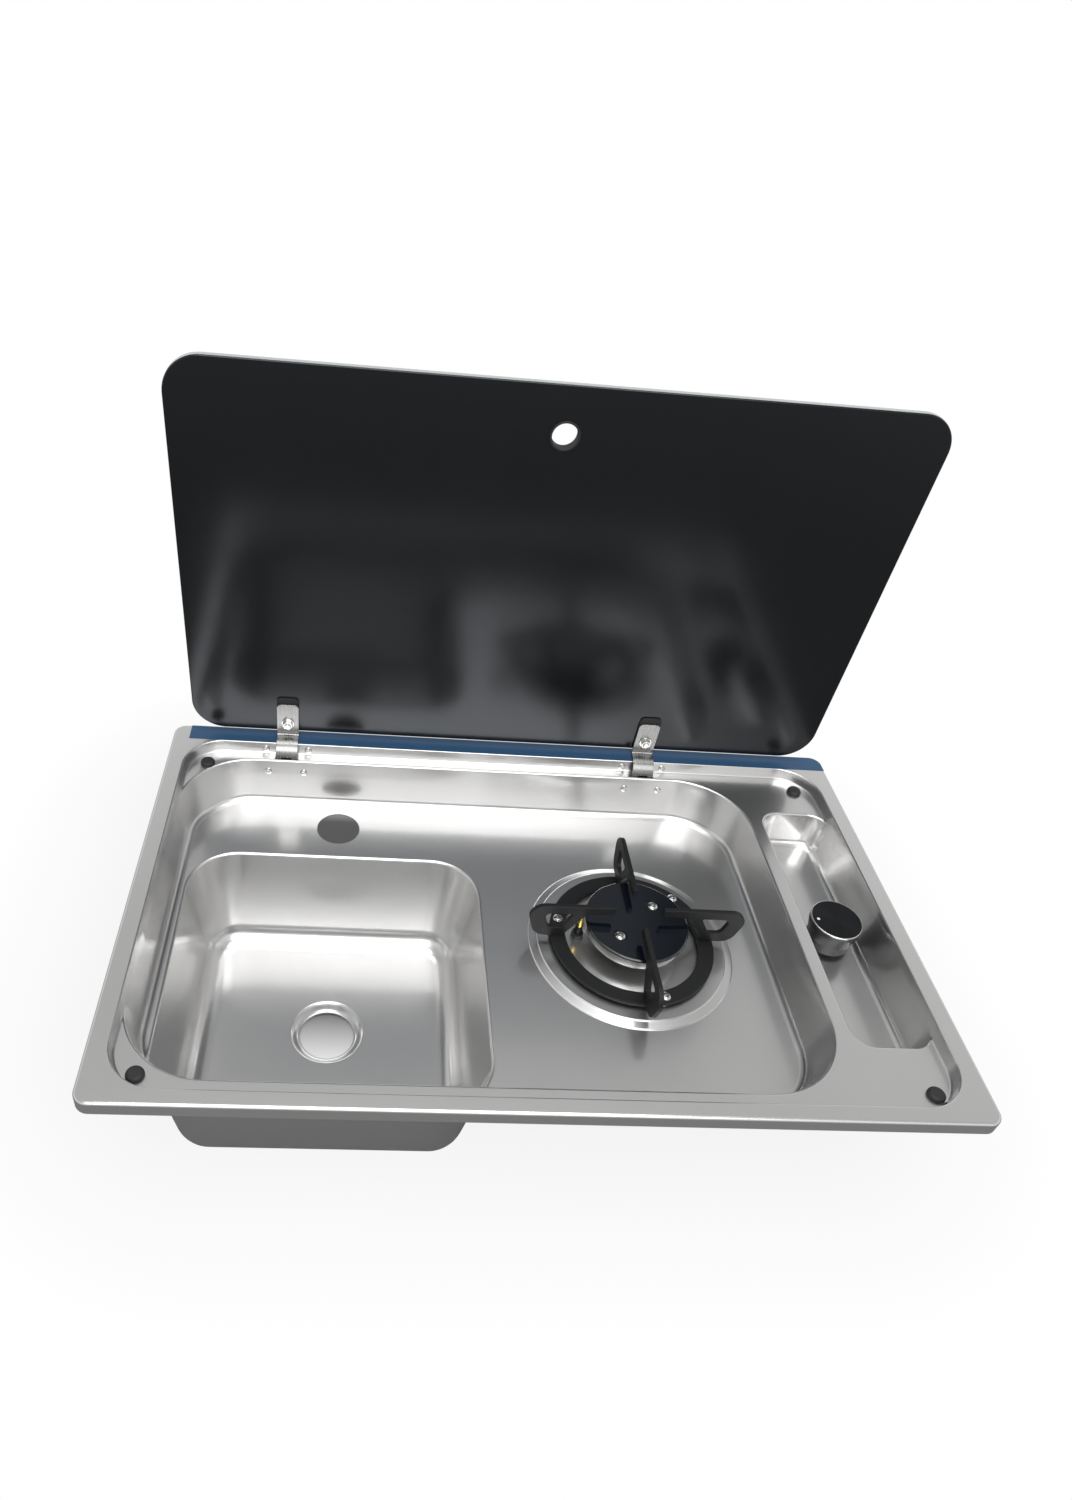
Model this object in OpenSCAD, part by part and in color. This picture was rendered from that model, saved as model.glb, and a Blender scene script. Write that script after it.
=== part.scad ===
// Drop-in hob and sink unit with a hinged glass lid.
// Millimetres. X runs left to right, Y to the back, Z up. Z = 0 is the worktop that the rim stands on.
// The lid is drawn open, as the unit is seen in use.

/* [Rim and lid recess] */
// Width over the turned-down rim
rim_w = 590; // [575:1:640]
// Depth over the turned-down rim
rim_d = 370; // [362:1:420]
// Height of the rim above the worktop
rim_rise = 10.8; // [10.8:0.1:13]
// Outer corner radius of the rim
rim_r = 10; // [5:0.5:16]
// Thickness of the stainless sheet
sheet_t = 0.8; // [0.6:0.1:1]
// Width of the rim at each side
rim_side = 14; // [13:0.5:18]
// Width of the rim at the front
rim_front = 12; // [11:0.5:18]
// Width of the rim behind the lid
rim_back = 19; // [18.5:0.5:26]
// Corner radius of the lid recess
recess_r = 34; // [30:1:38]
// Drop from the rim to the ledge that the lid closes over
ledge_drop = 10; // [9.5:0.1:10.4]

/* [Hob pan] */
// Drop from the rim to the deck
deck_drop = 50; // [48:0.5:60]
// Ledge left between the recess and the pan at the left
pan_left_land = 0.8; // [0.5:0.1:4]
// Ledge left in front of the pan
pan_front_land = 13; // [12:0.5:20]
// Ledge left behind the pan
pan_back_land = 12.2; // [12:0.1:12.6]
// Ledge left between the pan and the control trough
pan_trough_land = 11.7; // [8:0.1:20]
// Corner radius of the pan at the ledge
pan_r = 60; // [54:1:66]
// How far the pan's walls lean in down to the deck
pan_draft = 6; // [4:0.5:8]
// Radius of the bend from wall to deck
pan_bend = 6; // [4:0.5:8]
// Outer diameter of the raised disc that carries the burner
disc_d = 164; // [150:1:170]
// Width of the slope round the raised disc
disc_slope_w = 7; // [5:0.2:9]
// Height of the raised disc
disc_rise = 3; // [1:0.2:3.4]

/* [Bowl] */
// Strip of deck left between the pan's left wall and the bowl
bowl_left_land = 8.2; // [6:0.2:12]
// Strip of deck left between the bowl and the burner's disc
bowl_burner_land = 37; // [30:0.5:50]
// Strip of deck left behind the bowl for the tap
bowl_back_land = 69.8; // [64:0.2:80]
// Strip of deck left between the bowl and the pan's front wall
bowl_front_land = 1; // [0.5:0.5:4]
// Drop from the rim to the bowl's floor
bowl_drop = 140; // [120:1:180]
// Corner radius of the bowl at the deck
bowl_r = 40; // [36:1:50]
// How far the bowl's walls lean in down to the floor
bowl_draft = 12; // [6:0.5:16]
// Radius of the bend from wall to floor
bowl_bend = 18; // [10:1:19]

/* [Tap hole and drain] */
// Diameter of the tap hole
tap_d = 37; // [33:0.5:40]
// Diameter of the drain hole
drain_d = 44; // [38:1:50]
// Diameter of the dish pressed round the drain hole
dish_d = 60; // [56:1:70]
// Depth of the dish
dish_depth = 6; // [3:0.5:8]
// Distance of the drain behind the bowl's middle
drain_back = 5; // [0:1:30]

/* [Control trough] */
// Width of the trough at the ledge
trough_w = 58.7; // [56:0.1:62]
// Length of the trough at the ledge, front to back
trough_d = 237.5; // [200:0.5:250]
// Ledge left between the recess and the trough at the right
trough_right_land = 0.8; // [0.5:0.1:2]
// Distance of the trough's middle in front of the unit's middle
trough_fwd = 2.75; // [-10:0.25:10]
// Drop from the rim to the trough's floor
trough_drop = 41.3; // [40.5:0.1:48]
// Corner radius of the trough at the ledge
trough_r = 16; // [12:1:20]
// How far the trough's walls lean in down to its floor
trough_draft = 4; // [2:0.5:5]
// Radius of the bend from wall to floor
trough_bend = 6; // [3:0.5:6]

/* [Glass lid] */
// Thickness of the glass
glass_t = 6; // [5:0.5:6]
// Distance of the closed lid's rear edge from the back of the recess
lid_back_gap = 14; // [13.4:0.1:14.6]
// Gap between the lid and the recess at the front and the sides
lid_gap = 3.2; // [2:0.1:4]
// Corner radius of the lid
lid_r = 28; // [20:1:32]
// Inner diameter of the finger hole's ring
finger_d = 18.6; // [16:0.2:24]
// Distance of the finger hole from the lid's front edge
finger_in = 36; // [28:1:50]
// Wall of the finger ring inside the glass
ring_wall = 0.9; // [0.6:0.1:1.5]
// How far the ring's flanges stand out round the hole
ring_flange = 1.7; // [1.2:0.1:3]
// How far the lid stands open
open_angle = 87; // [80:1:92]
// Diameter of the rubber bumpers that the lid closes on
bumper_d = 12.2; // [10:0.1:12.4]
// Distance of the bumpers from the recess at the sides
bumper_side = 18.8; // [16:0.1:22]
// Distance of the front bumpers from the recess at the front
bumper_front = 14.3; // [12:0.1:16]
// Distance of the rear bumpers from the recess at the back
bumper_back = 20.4; // [19:0.1:22]
// Gap that keeps moving pieces clear of fixed ones
run_gap = 0.3; // [0.3:0.05:0.5]

/* [Lid hinges] */
// Distance of the left hinge from the left of the recess
hinge_left_in = 85.3; // [82:0.1:100]
// Distance of the right hinge from the right of the recess
hinge_right_in = 156.8; // [150:0.1:220]
// Distance of the hinge pin behind the recess wall
pin_back = 6; // [5.8:0.1:6.2]
// Distance of the hinge pin below the worktop
pin_drop = 1.5; // [1.3:0.1:1.8]
// Width of the strap
strap_w = 19; // [16:0.5:22]
// Thickness of the strap
strap_t = 1.5; // [1.2:0.1:1.5]
// Inner radius of the strap's curved neck
neck_r = 14.2; // [14.2:0.1:14.4]
// Inner radius of the bend from neck to flat
strap_bend_r = 2; // [1.8:0.1:2.2]
// Length of strap on the glass
strap_len = 29; // [24:1:36]
// Corner radius at the strap's free end
strap_r = 4; // [2:0.5:6]
// How far the rubber pad shows past the strap
pad_more = 6; // [3:0.5:9]
// Thickness of the rubber pad
pad_t = 1.5; // [1.2:0.1:1.6]
// Distance of the lid screw from the glass's rear edge
screw_in = 8.5; // [8:0.5:12]
// Diameter of the lid screw
screw_d = 5; // [4:0.5:6]
// Diameter of the hinge pin
pin_d = 4; // [3:0.5:4.5]
// Radial play between the pin and the strap's eye
pin_play = 0.05; // [0.02:0.01:0.1]
// Wall of the strap's eye round the pin
eye_wall = 1.4; // [1:0.1:1.6]
// Thickness of the hinge box's sheet
box_t = 1.2; // [1:0.1:1.3]
// Diameter of the rivet heads
rivet_head_d = 7; // [6:0.2:8]

/* [Pan support] */
// Gap between the support's top and the closed glass
support_gap = 2; // [1.5:0.5:4]
// Outer diameter of the support's ring
support_ring_d = 131; // [120:1:140]
// Width of the support's ring
support_ring_w = 12; // [9:1:16]
// Thickness of the support's ring
support_ring_t = 3; // [2:0.5:4]
// Height of the spacers under the ring
spacer_h = 2.5; // [1.5:0.5:5]
// Reach of the arms from the burner's middle
arm_reach = 85.5; // [78:0.5:92]
// Distance of the arms' inner ends from the burner's middle
arm_inner = 19; // [12:1:26]
// Height of the arm's beam over its loop
arm_beam = 8.2; // [6:0.2:10]
// Height of the arm's foot under its loop
arm_foot = 9.8; // [6:0.2:11]
// Width of the arm's nose in front of its loop
arm_nose_w = 12.8; // [9:0.2:14]
// How far the arm's brace leans in from the foot to the beam
arm_brace = 15.8; // [12:0.2:18]
// Thickness of the arms
arm_t = 3; // [3:0.5:5]
// Diameter of the screw heads on the burner and its support
head_d = 8.4; // [7:0.2:9]

/* [Burner] */
// Distance of the burner's middle from the pan's right wall
burner_right = 118.8; // [112:0.2:124]
// Distance of the burner in front of the middle
burner_fwd = 4; // [-5:1:8]
// Diameter of the cap
cap_d = 81.6; // [74:0.2:88]
// Height of the cap's top above the raised disc
cap_top = 25; // [22:0.5:30]
// Thickness of the cap
cap_t = 3; // [2.6:0.2:5]
// Diameter of the flame ring under the cap
head_ring_d = 76; // [70:1:78]
// Height of the flame ring
head_ring_h = 10.4; // [8:0.4:11]
// Number of flame ports
port_count = 30; // [20:1:40]
// Diameter of the neck between the flame ring and the base
burner_neck_d = 42; // [40:1:48]
// Diameter of the base's flange on the deck
flange_d = 50; // [46:1:60]
// Outer diameter of the mixing tube
mix_d = 26; // [22:1:30]
// Length of the mixing tube below the raised disc
mix_len = 23; // [18:1:28]
// Distance between the two cap screws
cap_screw_pitch = 45; // [36:1:50]
// Distance of the flame sensor from the burner's middle
sensor_out = 43; // [42:0.5:50]

/* [Gas valve and knob] */
// Diameter of the knob's top
knob_d = 40; // [36:1:44]
// Diameter of the knob at its foot
knob_foot_d = 35; // [34:0.5:36]
// Height of the knob
knob_h = 24.5; // [20:0.5:26]
// Travel of the knob when it is pressed
press_travel = 2.5; // [1.5:0.1:3]
// Gap under the released knob
knob_gap = 3.8; // [3.5:0.1:5]
// Diameter of the valve stem
stem_d = 9; // [8:0.5:10]
// Radial play of the stem in the valve
stem_play = 0.05; // [0.02:0.01:0.1]
// Diameter of the valve's threaded neck
neck_d = 18; // [16:0.5:20]
// Width of the valve body
valve_w = 30; // [28:1:34]
// Height of the valve body
valve_h = 46; // [44:1:56]
// Outer diameter of the gas inlet pipe
inlet_d = 8; // [6:1:10]
// Outer diameter of the feed pipe to the burner
feed_d = 6; // [5:0.5:8]
// Distance that the inlet pipe reaches behind the valve
inlet_reach = 155; // [120:1:165]

/* [Worktop fixing] */
// Width of the foam seal under the rim
seal_w = 5; // [4:0.5:5.5]
// Thickness of the worktop that the clamps grip
worktop_t = 16; // [12:1:22]
// Reach of the clamps below the rim
clamp_reach = 12; // [11:0.5:13]
// Width of the clamps
clamp_w = 22; // [16:1:30]

/* [Protective film] */
// Thickness of the film on the rear rim
film_t = 0.15; // [0.1:0.05:0.3]

/* [Hidden] */

big = 400;
eps = 0.01;
round_fn = 96;
hull_fn = 32;

ledge_z = rim_rise - ledge_drop;
deck_z = rim_rise - deck_drop;
floor_z = rim_rise - bowl_drop;
trough_z = rim_rise - trough_drop;

recess_x = rim_w / 2 - rim_side;
recess_y0 = -rim_d / 2 + rim_front;
recess_y1 = rim_d / 2 - rim_back;

pan_x0 = -recess_x + pan_left_land;
pan_y0 = recess_y0 + pan_front_land;
pan_y1 = recess_y1 - pan_back_land;

trough_x1 = recess_x - trough_right_land;
trough_x0 = trough_x1 - trough_w;
trough_y0 = -trough_fwd - trough_d / 2;
trough_y1 = trough_y0 + trough_d;

pan_x1 = trough_x0 - pan_trough_land;
burner_x = pan_x1 - burner_right;
burner_y = -burner_fwd;

bowl_x0 = pan_x0 + pan_draft + bowl_left_land;
bowl_x1 = burner_x - disc_d / 2 - bowl_burner_land;
bowl_y0 = pan_y0 + pan_draft + bowl_front_land;
bowl_y1 = pan_y1 - pan_draft - bowl_back_land;
bowl_mid_x = (bowl_x0 + bowl_x1) / 2;

tap_y = (bowl_y1 + pan_y1 - pan_draft) / 2;
drain_y = (bowl_y0 + bowl_y1) / 2 + drain_back;

knob_x = (trough_x0 + trough_x1) / 2;
knob_y = -trough_fwd;

lid_under_z = rim_rise - glass_t;
lid_x = recess_x - lid_gap;
lid_y0 = recess_y0 + lid_gap;
lid_y1 = recess_y1 - lid_back_gap;
finger_y = lid_y0 + finger_in;
finger_hole_r = finger_d / 2 + ring_wall;
ring_flange_t = 0.8;

pin_y = recess_y1 + pin_back;
pin_z = -pin_drop;
hinge_xs = [-recess_x + hinge_left_in, recess_x - hinge_right_in];
strap_mid_z = lid_under_z - pad_t - strap_t / 2;
neck_mid_r = neck_r + strap_t / 2;
bend_mid_r = strap_bend_r + strap_t / 2;
bend_lift = asin((strap_mid_z - pin_z - bend_mid_r) / (neck_mid_r + bend_mid_r));
bend_y = pin_y - (neck_mid_r + bend_mid_r) * cos(bend_lift);
bend_z = strap_mid_z - bend_mid_r;
neck_end = 285;
lap = 0.05;
window_angle = neck_end - 26;
window_w = 8.6;
window_len = 3.4;
screw_y = lid_y1 - screw_in;
nut_h = 4;
washer_t = 1;
washer_d = 14;
nut_flats = 8;
dome_r = 6;
dome_sink = 3.2;
slot_gap = 0.9;
slot_front = pin_y - neck_r - strap_t - slot_gap + 0.2;
slot_back = pin_y - sqrt(neck_r * neck_r - pow(ledge_z - pin_z, 2)) + slot_gap;
wall_slope = pan_draft / (ledge_z - deck_z - pan_bend);
wall_y = pan_y1 + sheet_t;
cheek_x = strap_w / 2 + 0.7;
box_low = -19;
box_back = pin_y + 6;
box_half = cheek_x + box_t + 10;
riser_rivet_x = 18.5;
wall_rivet_x = 15.4;
riser_rivet_z = rim_rise - 6.2;
wall_rivet_z = rim_rise - 20.8;
rivet_r = 2;
rivet_head_h = 1.2;
spring_t = 0.5;

bumper_x = recess_x - bumper_side;
bumper_ys = [recess_y0 + bumper_front, recess_y1 - bumper_back];
bumper_top = lid_under_z - run_gap;
stud_r = 2;

support_top_z = lid_under_z - support_gap;
disc_z = deck_z + disc_rise;
ring_low_z = disc_z + spacer_h;
ring_top_z = ring_low_z + support_ring_t;
ring_mid_r = support_ring_d / 2 - support_ring_w / 2;
support_screw_angles = [45, 165, 285];
support_screw_r = 2;
head_h = 2.4;

cap_z = disc_z + cap_top;
head_top_z = cap_z - cap_t;
head_low_z = head_top_z - head_ring_h;
gasket_t = 1;
flange_t = 3;
mix_low_z = disc_z - sheet_t - mix_len;
mix_bore_r = mix_d / 2 - 4;
feed_z = mix_low_z - 12;
holder_low_z = feed_z - 6;
port_w = 1.6;
cap_screw_l = cap_t + head_ring_h - 3;
port_h = 2;
sensor_angle = 175;
sensor_x = burner_x + sensor_out * cos(sensor_angle);
sensor_y = burner_y + sensor_out * sin(sensor_angle);
sensor_top_z = disc_z + 21.6;
sensor_low_z = disc_z - 7;

knob_low_z = trough_z + knob_gap;
knob_top_z = knob_low_z + knob_h;
trough_under_z = trough_z - sheet_t;
valve_flange_t = 3;
valve_top_z = trough_under_z - gasket_t;
valve_low_z = valve_top_z - valve_flange_t - valve_h;
neck_top_z = trough_z + 5;
neck_nut_h = 4;
stem_low_z = valve_top_z - 16;
stem_top_z = knob_top_z - 4;
spring_low_z = stem_low_z - 13.5;
plunger_r = 1.6;
plunger_low_z = valve_low_z - 1;
magnet_d = 16;
magnet_h = 20;
magnet_low_z = valve_low_z - magnet_h;
magnet_nut_low_z = magnet_low_z - 7;
inlet_z = valve_top_z - 16;
feed_boss = 8;
feed_x0 = burner_x + mix_d / 2 + 7;
feed_x1 = knob_x - valve_w / 2 - feed_boss;
feed_nut_l = 9;
feed_nut_flats = 11;
inlet_nut_l = 11;
inlet_sleeve_r = inlet_d / 2 + 0.9;
spring_top_z = -2.2;
spring_turn_z = -3.6;
spring_bend_z = -11;
arm_loop_in = 9.8;
arm_nose_r = 12;
arm_loop_r = 4;
arm_lean = 17.4;
screw_seat_r = head_d / 2 + 1.2;
inlet_nut_flats = 14;

lip_in_x = rim_w / 2 - sheet_t;
lip_in_y = rim_d / 2 - sheet_t;
seal_h = rim_rise - sheet_t;
clamp_low_z = -worktop_t - 8;
clamp_t = 2;
clamp_screw_r = 2;
clamp_tail = 6;
clamp_head_h = 3;
clamp_head_r = 3.5;
trough_slope = trough_draft / (ledge_z - trough_z - trough_bend);
clamp_spots = [
  [-110, pan_y1, 0, wall_slope], [50, pan_y1, 0, wall_slope],
  [pan_x0, -20, 90, wall_slope], [trough_x1, -30, -90, trough_slope]
];

steel = [0.78, 0.78, 0.76];
rubber = [0.08, 0.08, 0.09];
brass = [0.79, 0.64, 0.3];

// Points on an arc, for outlines
function arc(cx, cy, r, from, to, steps = 12) =
  [for (i = [0:steps]) [cx + r * cos(from + (to - from) * i / steps), cy + r * sin(from + (to - from) * i / steps)]];

// Flat rounded rectangle between two corners
module outline(x0, x1, y0, y1, r) {
  translate([x0 + r, y0]) square([x1 - x0 - 2 * r, y1 - y0]);
  translate([x0, y0 + r]) square([x1 - x0, y1 - y0 - 2 * r]);
  for (x = [x0 + r, x1 - r], y = [y0 + r, y1 - r]) translate([x, y]) circle(r = r, $fn = round_fn);
}

// Tapered tub with bent corners. grow makes the outside skin of the same tub.
module tub(x0, x1, y0, y1, r, top, bottom, draft, bend, over = 1, grow = 0) {
  hull() {
    for (x = [x0 + r, x1 - r], y = [y0 + r, y1 - r]) {
      translate([x, y, top]) cylinder(h = over, r = r + grow, $fn = hull_fn);
      translate([x, y, bottom + bend]) rotate_extrude($fn = hull_fn) intersection() {
        translate([r - draft - bend, 0]) circle(r = bend + grow, $fn = hull_fn);
        translate([0, -r]) square([r, r]);
      }
    }
  }
}

module pan_tub(grow = 0) {
  tub(pan_x0, pan_x1, pan_y0, pan_y1, pan_r, ledge_z, deck_z, pan_draft, pan_bend, grow = grow);
}

module bowl_tub(grow = 0) {
  tub(bowl_x0, bowl_x1, bowl_y0, bowl_y1, bowl_r, deck_z, floor_z, bowl_draft, bowl_bend, over = pan_bend, grow = grow);
}

module trough_tub(grow = 0) {
  tub(trough_x0, trough_x1, trough_y0, trough_y1, trough_r, ledge_z, trough_z, trough_draft, trough_bend, grow = grow);
}

module recess_outline(grow = 0) {
  outline(-recess_x - grow, recess_x + grow, recess_y0 - grow, recess_y1 + grow, recess_r + grow);
}

module rim_outline(inset = 0) {
  outline(-rim_w / 2 + inset, rim_w / 2 - inset, -rim_d / 2 + inset, rim_d / 2 - inset, rim_r - inset);
}

module below_worktop() {
  translate([-big, -big, -big]) cube([2 * big, 2 * big, big]);
}

// Puts a piece drawn on the closed lid where the open lid is
module on_open_lid() {
  translate([0, pin_y, pin_z]) rotate([-open_angle, 0, 0]) translate([0, -pin_y, -pin_z]) children();
}

// Extrudes a profile drawn in Y and Z along X, centred on x
module across(x, width) {
  translate([x - width / 2, 0, 0]) rotate([90, 0, 90]) linear_extrude(width) children();
}

// Hexagon with the given size across its flats
module hex(flats, h) {
  cylinder(h = h, r = flats / sqrt(3), $fn = 6);
}

module rivet_places(x) {
  for (s = [-1, 1]) {
    translate([x + s * riser_rivet_x, recess_y1, riser_rivet_z]) rotate([-90, 0, 0]) children();
    translate([x + s * wall_rivet_x, pan_wall_y(wall_rivet_z) - sheet_t, wall_rivet_z])
      rotate([-90 - atan(wall_slope), 0, 0]) children();
  }
}

// Outside of the pan's back wall at a height
function pan_wall_y(z) = wall_y - wall_slope * (ledge_z - z);

module tray_rim() {
  color(steel) difference() {
    union() {
      translate([0, 0, rim_rise - sheet_t]) linear_extrude(sheet_t) difference() {
        rim_outline();
        recess_outline();
      }
      linear_extrude(rim_rise) difference() {
        rim_outline();
        rim_outline(sheet_t);
      }
      linear_extrude(rim_rise) difference() {
        recess_outline(sheet_t);
        recess_outline();
      }
      linear_extrude(ledge_z) recess_outline(sheet_t);
    }
    pan_tub();
    trough_tub();
    for (x = hinge_xs) {
      translate([x - strap_w / 2 - 0.5, slot_front, -1])
        cube([strap_w + 1, slot_back - slot_front, ledge_z + 2]);
      rivet_places(x) translate([0, 0, -2]) cylinder(h = 4, r = rivet_r, $fn = 32);
    }
    for (x = [-bumper_x, bumper_x], y = bumper_ys)
      translate([x, y, -1]) cylinder(h = ledge_z + 2, r = stud_r, $fn = 32);
  }
}

// Everything below the raised disc's upper face, or below its lower face when it is moved down
module burner_disc(down) {
  translate([burner_x, burner_y, deck_z + down]) rotate_extrude($fn = round_fn)
    polygon([[0, -sheet_t], [disc_d / 2, -sheet_t], [disc_d / 2, 0], [disc_d / 2 - disc_slope_w, disc_rise],
      [0, disc_rise]]);
}

module hob_pan() {
  color(steel) difference() {
    union() {
      difference() {
        intersection() {
          pan_tub(sheet_t);
          below_worktop();
        }
        pan_tub();
        bowl_tub();
      }
      burner_disc(0);
    }
    burner_disc(-sheet_t);
    translate([burner_x, burner_y, 0]) {
      translate([0, 0, disc_z - 2]) cylinder(h = 4, r = mix_d / 2, $fn = 64);
      for (a = support_screw_angles) rotate(a)
        translate([ring_mid_r, 0, disc_z - 2]) cylinder(h = 4, r = support_screw_r, $fn = 32);
    }
    translate([sensor_x, sensor_y, disc_z - 2]) cylinder(h = 4, r = 3, $fn = 32);
    translate([bowl_mid_x, tap_y, deck_z - 2]) cylinder(h = 4, r = tap_d / 2, $fn = 64);
    for (x = hinge_xs) rivet_places(x) translate([0, 0, -2]) cylinder(h = 4, r = rivet_r, $fn = 32);
  }
}

module sink_bowl() {
  dish_low = floor_z - dish_depth;
  color(steel) difference() {
    union() {
      bowl_tub(sheet_t);
      translate([bowl_mid_x, drain_y, dish_low - sheet_t])
        cylinder(h = dish_depth + sheet_t, r = dish_d / 2, $fn = 64);
    }
    bowl_tub();
    pan_tub(sheet_t);
    translate([bowl_mid_x, drain_y, dish_low]) rotate_extrude($fn = 64)
      polygon([[0, 0], [drain_d / 2 + 1, 0], [dish_d / 2 - sheet_t, dish_depth + eps], [0, dish_depth + eps]]);
    translate([bowl_mid_x, drain_y, dish_low - 2]) cylinder(h = 4, r = drain_d / 2, $fn = 64);
  }
}

module control_trough() {
  color(steel) difference() {
    intersection() {
      trough_tub(sheet_t);
      below_worktop();
    }
    trough_tub();
    translate([knob_x, knob_y, trough_z - 2]) cylinder(h = 4, r = neck_d / 2, $fn = 64);
  }
}

module rim_seal() {
  color(rubber) linear_extrude(seal_h) difference() {
    rim_outline(sheet_t);
    rim_outline(sheet_t + seal_w);
  }
}

module protective_film() {
  color([0.25, 0.42, 0.62]) translate([0, 0, rim_rise]) linear_extrude(film_t) intersection() {
    rim_outline(0.4);
    translate([-recess_x, recess_y1 + 0.4]) square([rim_w, rim_back]);
  }
}

module glass_lid() {
  color([0.05, 0.05, 0.06]) on_open_lid() difference() {
    translate([0, 0, lid_under_z]) linear_extrude(glass_t) outline(-lid_x, lid_x, lid_y0, lid_y1, lid_r);
    translate([0, finger_y, lid_under_z - 1]) cylinder(h = glass_t + 2, r = finger_hole_r, $fn = 64);
    for (x = hinge_xs) translate([x, screw_y, lid_under_z - 1])
      cylinder(h = glass_t + 2, r = screw_d / 2 + washer_t, $fn = 32);
  }
}

module finger_ring() {
  color(rubber) on_open_lid() translate([0, finger_y, lid_under_z]) difference() {
    union() {
      cylinder(h = glass_t, r = finger_hole_r, $fn = 64);
      for (z = [-ring_flange_t, glass_t]) translate([0, 0, z])
        cylinder(h = ring_flange_t, r = finger_d / 2 + ring_flange, $fn = 64);
    }
    translate([0, 0, -2]) cylinder(h = glass_t + 4, r = finger_d / 2, $fn = 64);
  }
}

// Wedge of a ring between two angles
module ring_part(r, t, from, to) {
  far = 2 * (r + t);
  intersection() {
    difference() {
      circle(r = r + t, $fn = round_fn);
      circle(r = r, $fn = round_fn);
    }
    polygon(concat([[0, 0]], arc(0, 0, far, from, to, 8)));
  }
}

// Side view of the strap on the closed lid: flat, bend, curved neck, tail and eye
module strap_profile() {
  translate([lid_y1 - strap_len, strap_mid_z - strap_t / 2]) square([bend_y - lid_y1 + strap_len + lap, strap_t]);
  translate([bend_y, bend_z]) ring_part(strap_bend_r, strap_t, -bend_lift - 2, 92);
  translate([pin_y, pin_z]) {
    difference() {
      union() {
        ring_part(neck_r, strap_t, 179.7 - bend_lift, neck_end);
        rotate(neck_end) translate([0, -strap_t / 2]) square([neck_r + strap_t / 2, strap_t]);
        circle(r = pin_d / 2 + eye_wall, $fn = 48);
      }
      circle(r = pin_d / 2 + pin_play, $fn = 48);
    }
  }
}

module hinge_strap(x) {
  color(steel) on_open_lid() difference() {
    intersection() {
      across(x, strap_w) strap_profile();
      translate([x, 0, -big / 2]) linear_extrude(big)
        outline(-strap_w / 2, strap_w / 2, lid_y1 - strap_len, pin_y + 2 * neck_r, strap_r);
    }
    translate([x, screw_y, 0]) cylinder(h = lid_under_z, r = screw_d / 2, $fn = 32);
    translate([x, pin_y, pin_z]) rotate([window_angle, 0, 0])
      translate([-window_w / 2, neck_r - 1, -window_len / 2]) cube([window_w, strap_t + 2, window_len]);
  }
}

module hinge_pad(x) {
  color(rubber) on_open_lid() translate([x, 0, lid_under_z - pad_t]) linear_extrude(pad_t) difference() {
    outline(-strap_w / 2, strap_w / 2, lid_y1 - strap_len - pad_more, lid_y1 - 0.5, strap_r);
    translate([0, screw_y]) circle(r = screw_d / 2, $fn = 32);
  }
}

module lid_screws() {
  color(steel) on_open_lid() for (x = hinge_xs) translate([x, screw_y, 0]) {
    translate([0, 0, strap_mid_z - strap_t / 2 - nut_h - 1])
      cylinder(h = rim_rise + washer_t - strap_mid_z + strap_t / 2 + nut_h + 1, r = screw_d / 2, $fn = 32);
    translate([0, 0, rim_rise + washer_t]) rotate_extrude($fn = 48)
      polygon(concat([[0, 0]], arc(0, -dome_sink, dome_r, asin(dome_sink / dome_r), 90, 8)));
  }
}

module lid_nuts() {
  color(steel) on_open_lid() for (x = hinge_xs) translate([x, screw_y, strap_mid_z - strap_t / 2 - nut_h])
    difference() {
      hex(nut_flats, nut_h);
      translate([0, 0, -1]) cylinder(h = nut_h + 2, r = screw_d / 2, $fn = 32);
    }
}

module lid_washers() {
  color(rubber) on_open_lid() for (x = hinge_xs) translate([x, screw_y, lid_under_z]) difference() {
    union() {
      cylinder(h = glass_t, r = screw_d / 2 + washer_t, $fn = 32);
      translate([0, 0, glass_t]) cylinder(h = washer_t, r = washer_d / 2, $fn = 48);
    }
    translate([0, 0, -1]) cylinder(h = glass_t + washer_t + 2, r = screw_d / 2, $fn = 32);
  }
}

// Folded box under the ledge: two cheeks, a flange on the pan's wall and one on the recess wall
module hinge_box(x) {
  under = -0.1;
  behind = recess_y1 + sheet_t + 0.1;
  low_y = pan_wall_y(box_low) + 0.1;
  top_y = pan_wall_y(under) + 0.1;
  color(steel) difference() {
    union() {
      for (s = [-1, 1]) across(x + s * (cheek_x + box_t / 2), box_t)
        polygon([[low_y, box_low], [box_back - 5, box_low], [box_back, box_low + 5], [box_back, rim_rise - 3],
          [behind, rim_rise - 3], [behind, under], [top_y, under]]);
      across(x, 2 * box_half)
        polygon([[low_y, box_low], [low_y + box_t, box_low], [top_y + box_t, under], [top_y, under]]);
      across(x, 2 * box_half)
        polygon([[behind, 1], [behind + box_t, 1], [behind + box_t, rim_rise - 1.8], [behind, rim_rise - 1.8]]);
    }
    rivet_places(x) translate([0, 0, -2]) cylinder(h = 6, r = rivet_r, $fn = 32);
    translate([x - box_half, pin_y, pin_z]) rotate([0, 90, 0]) cylinder(h = 2 * box_half, r = pin_d / 2, $fn = 48);
  }
}

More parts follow.
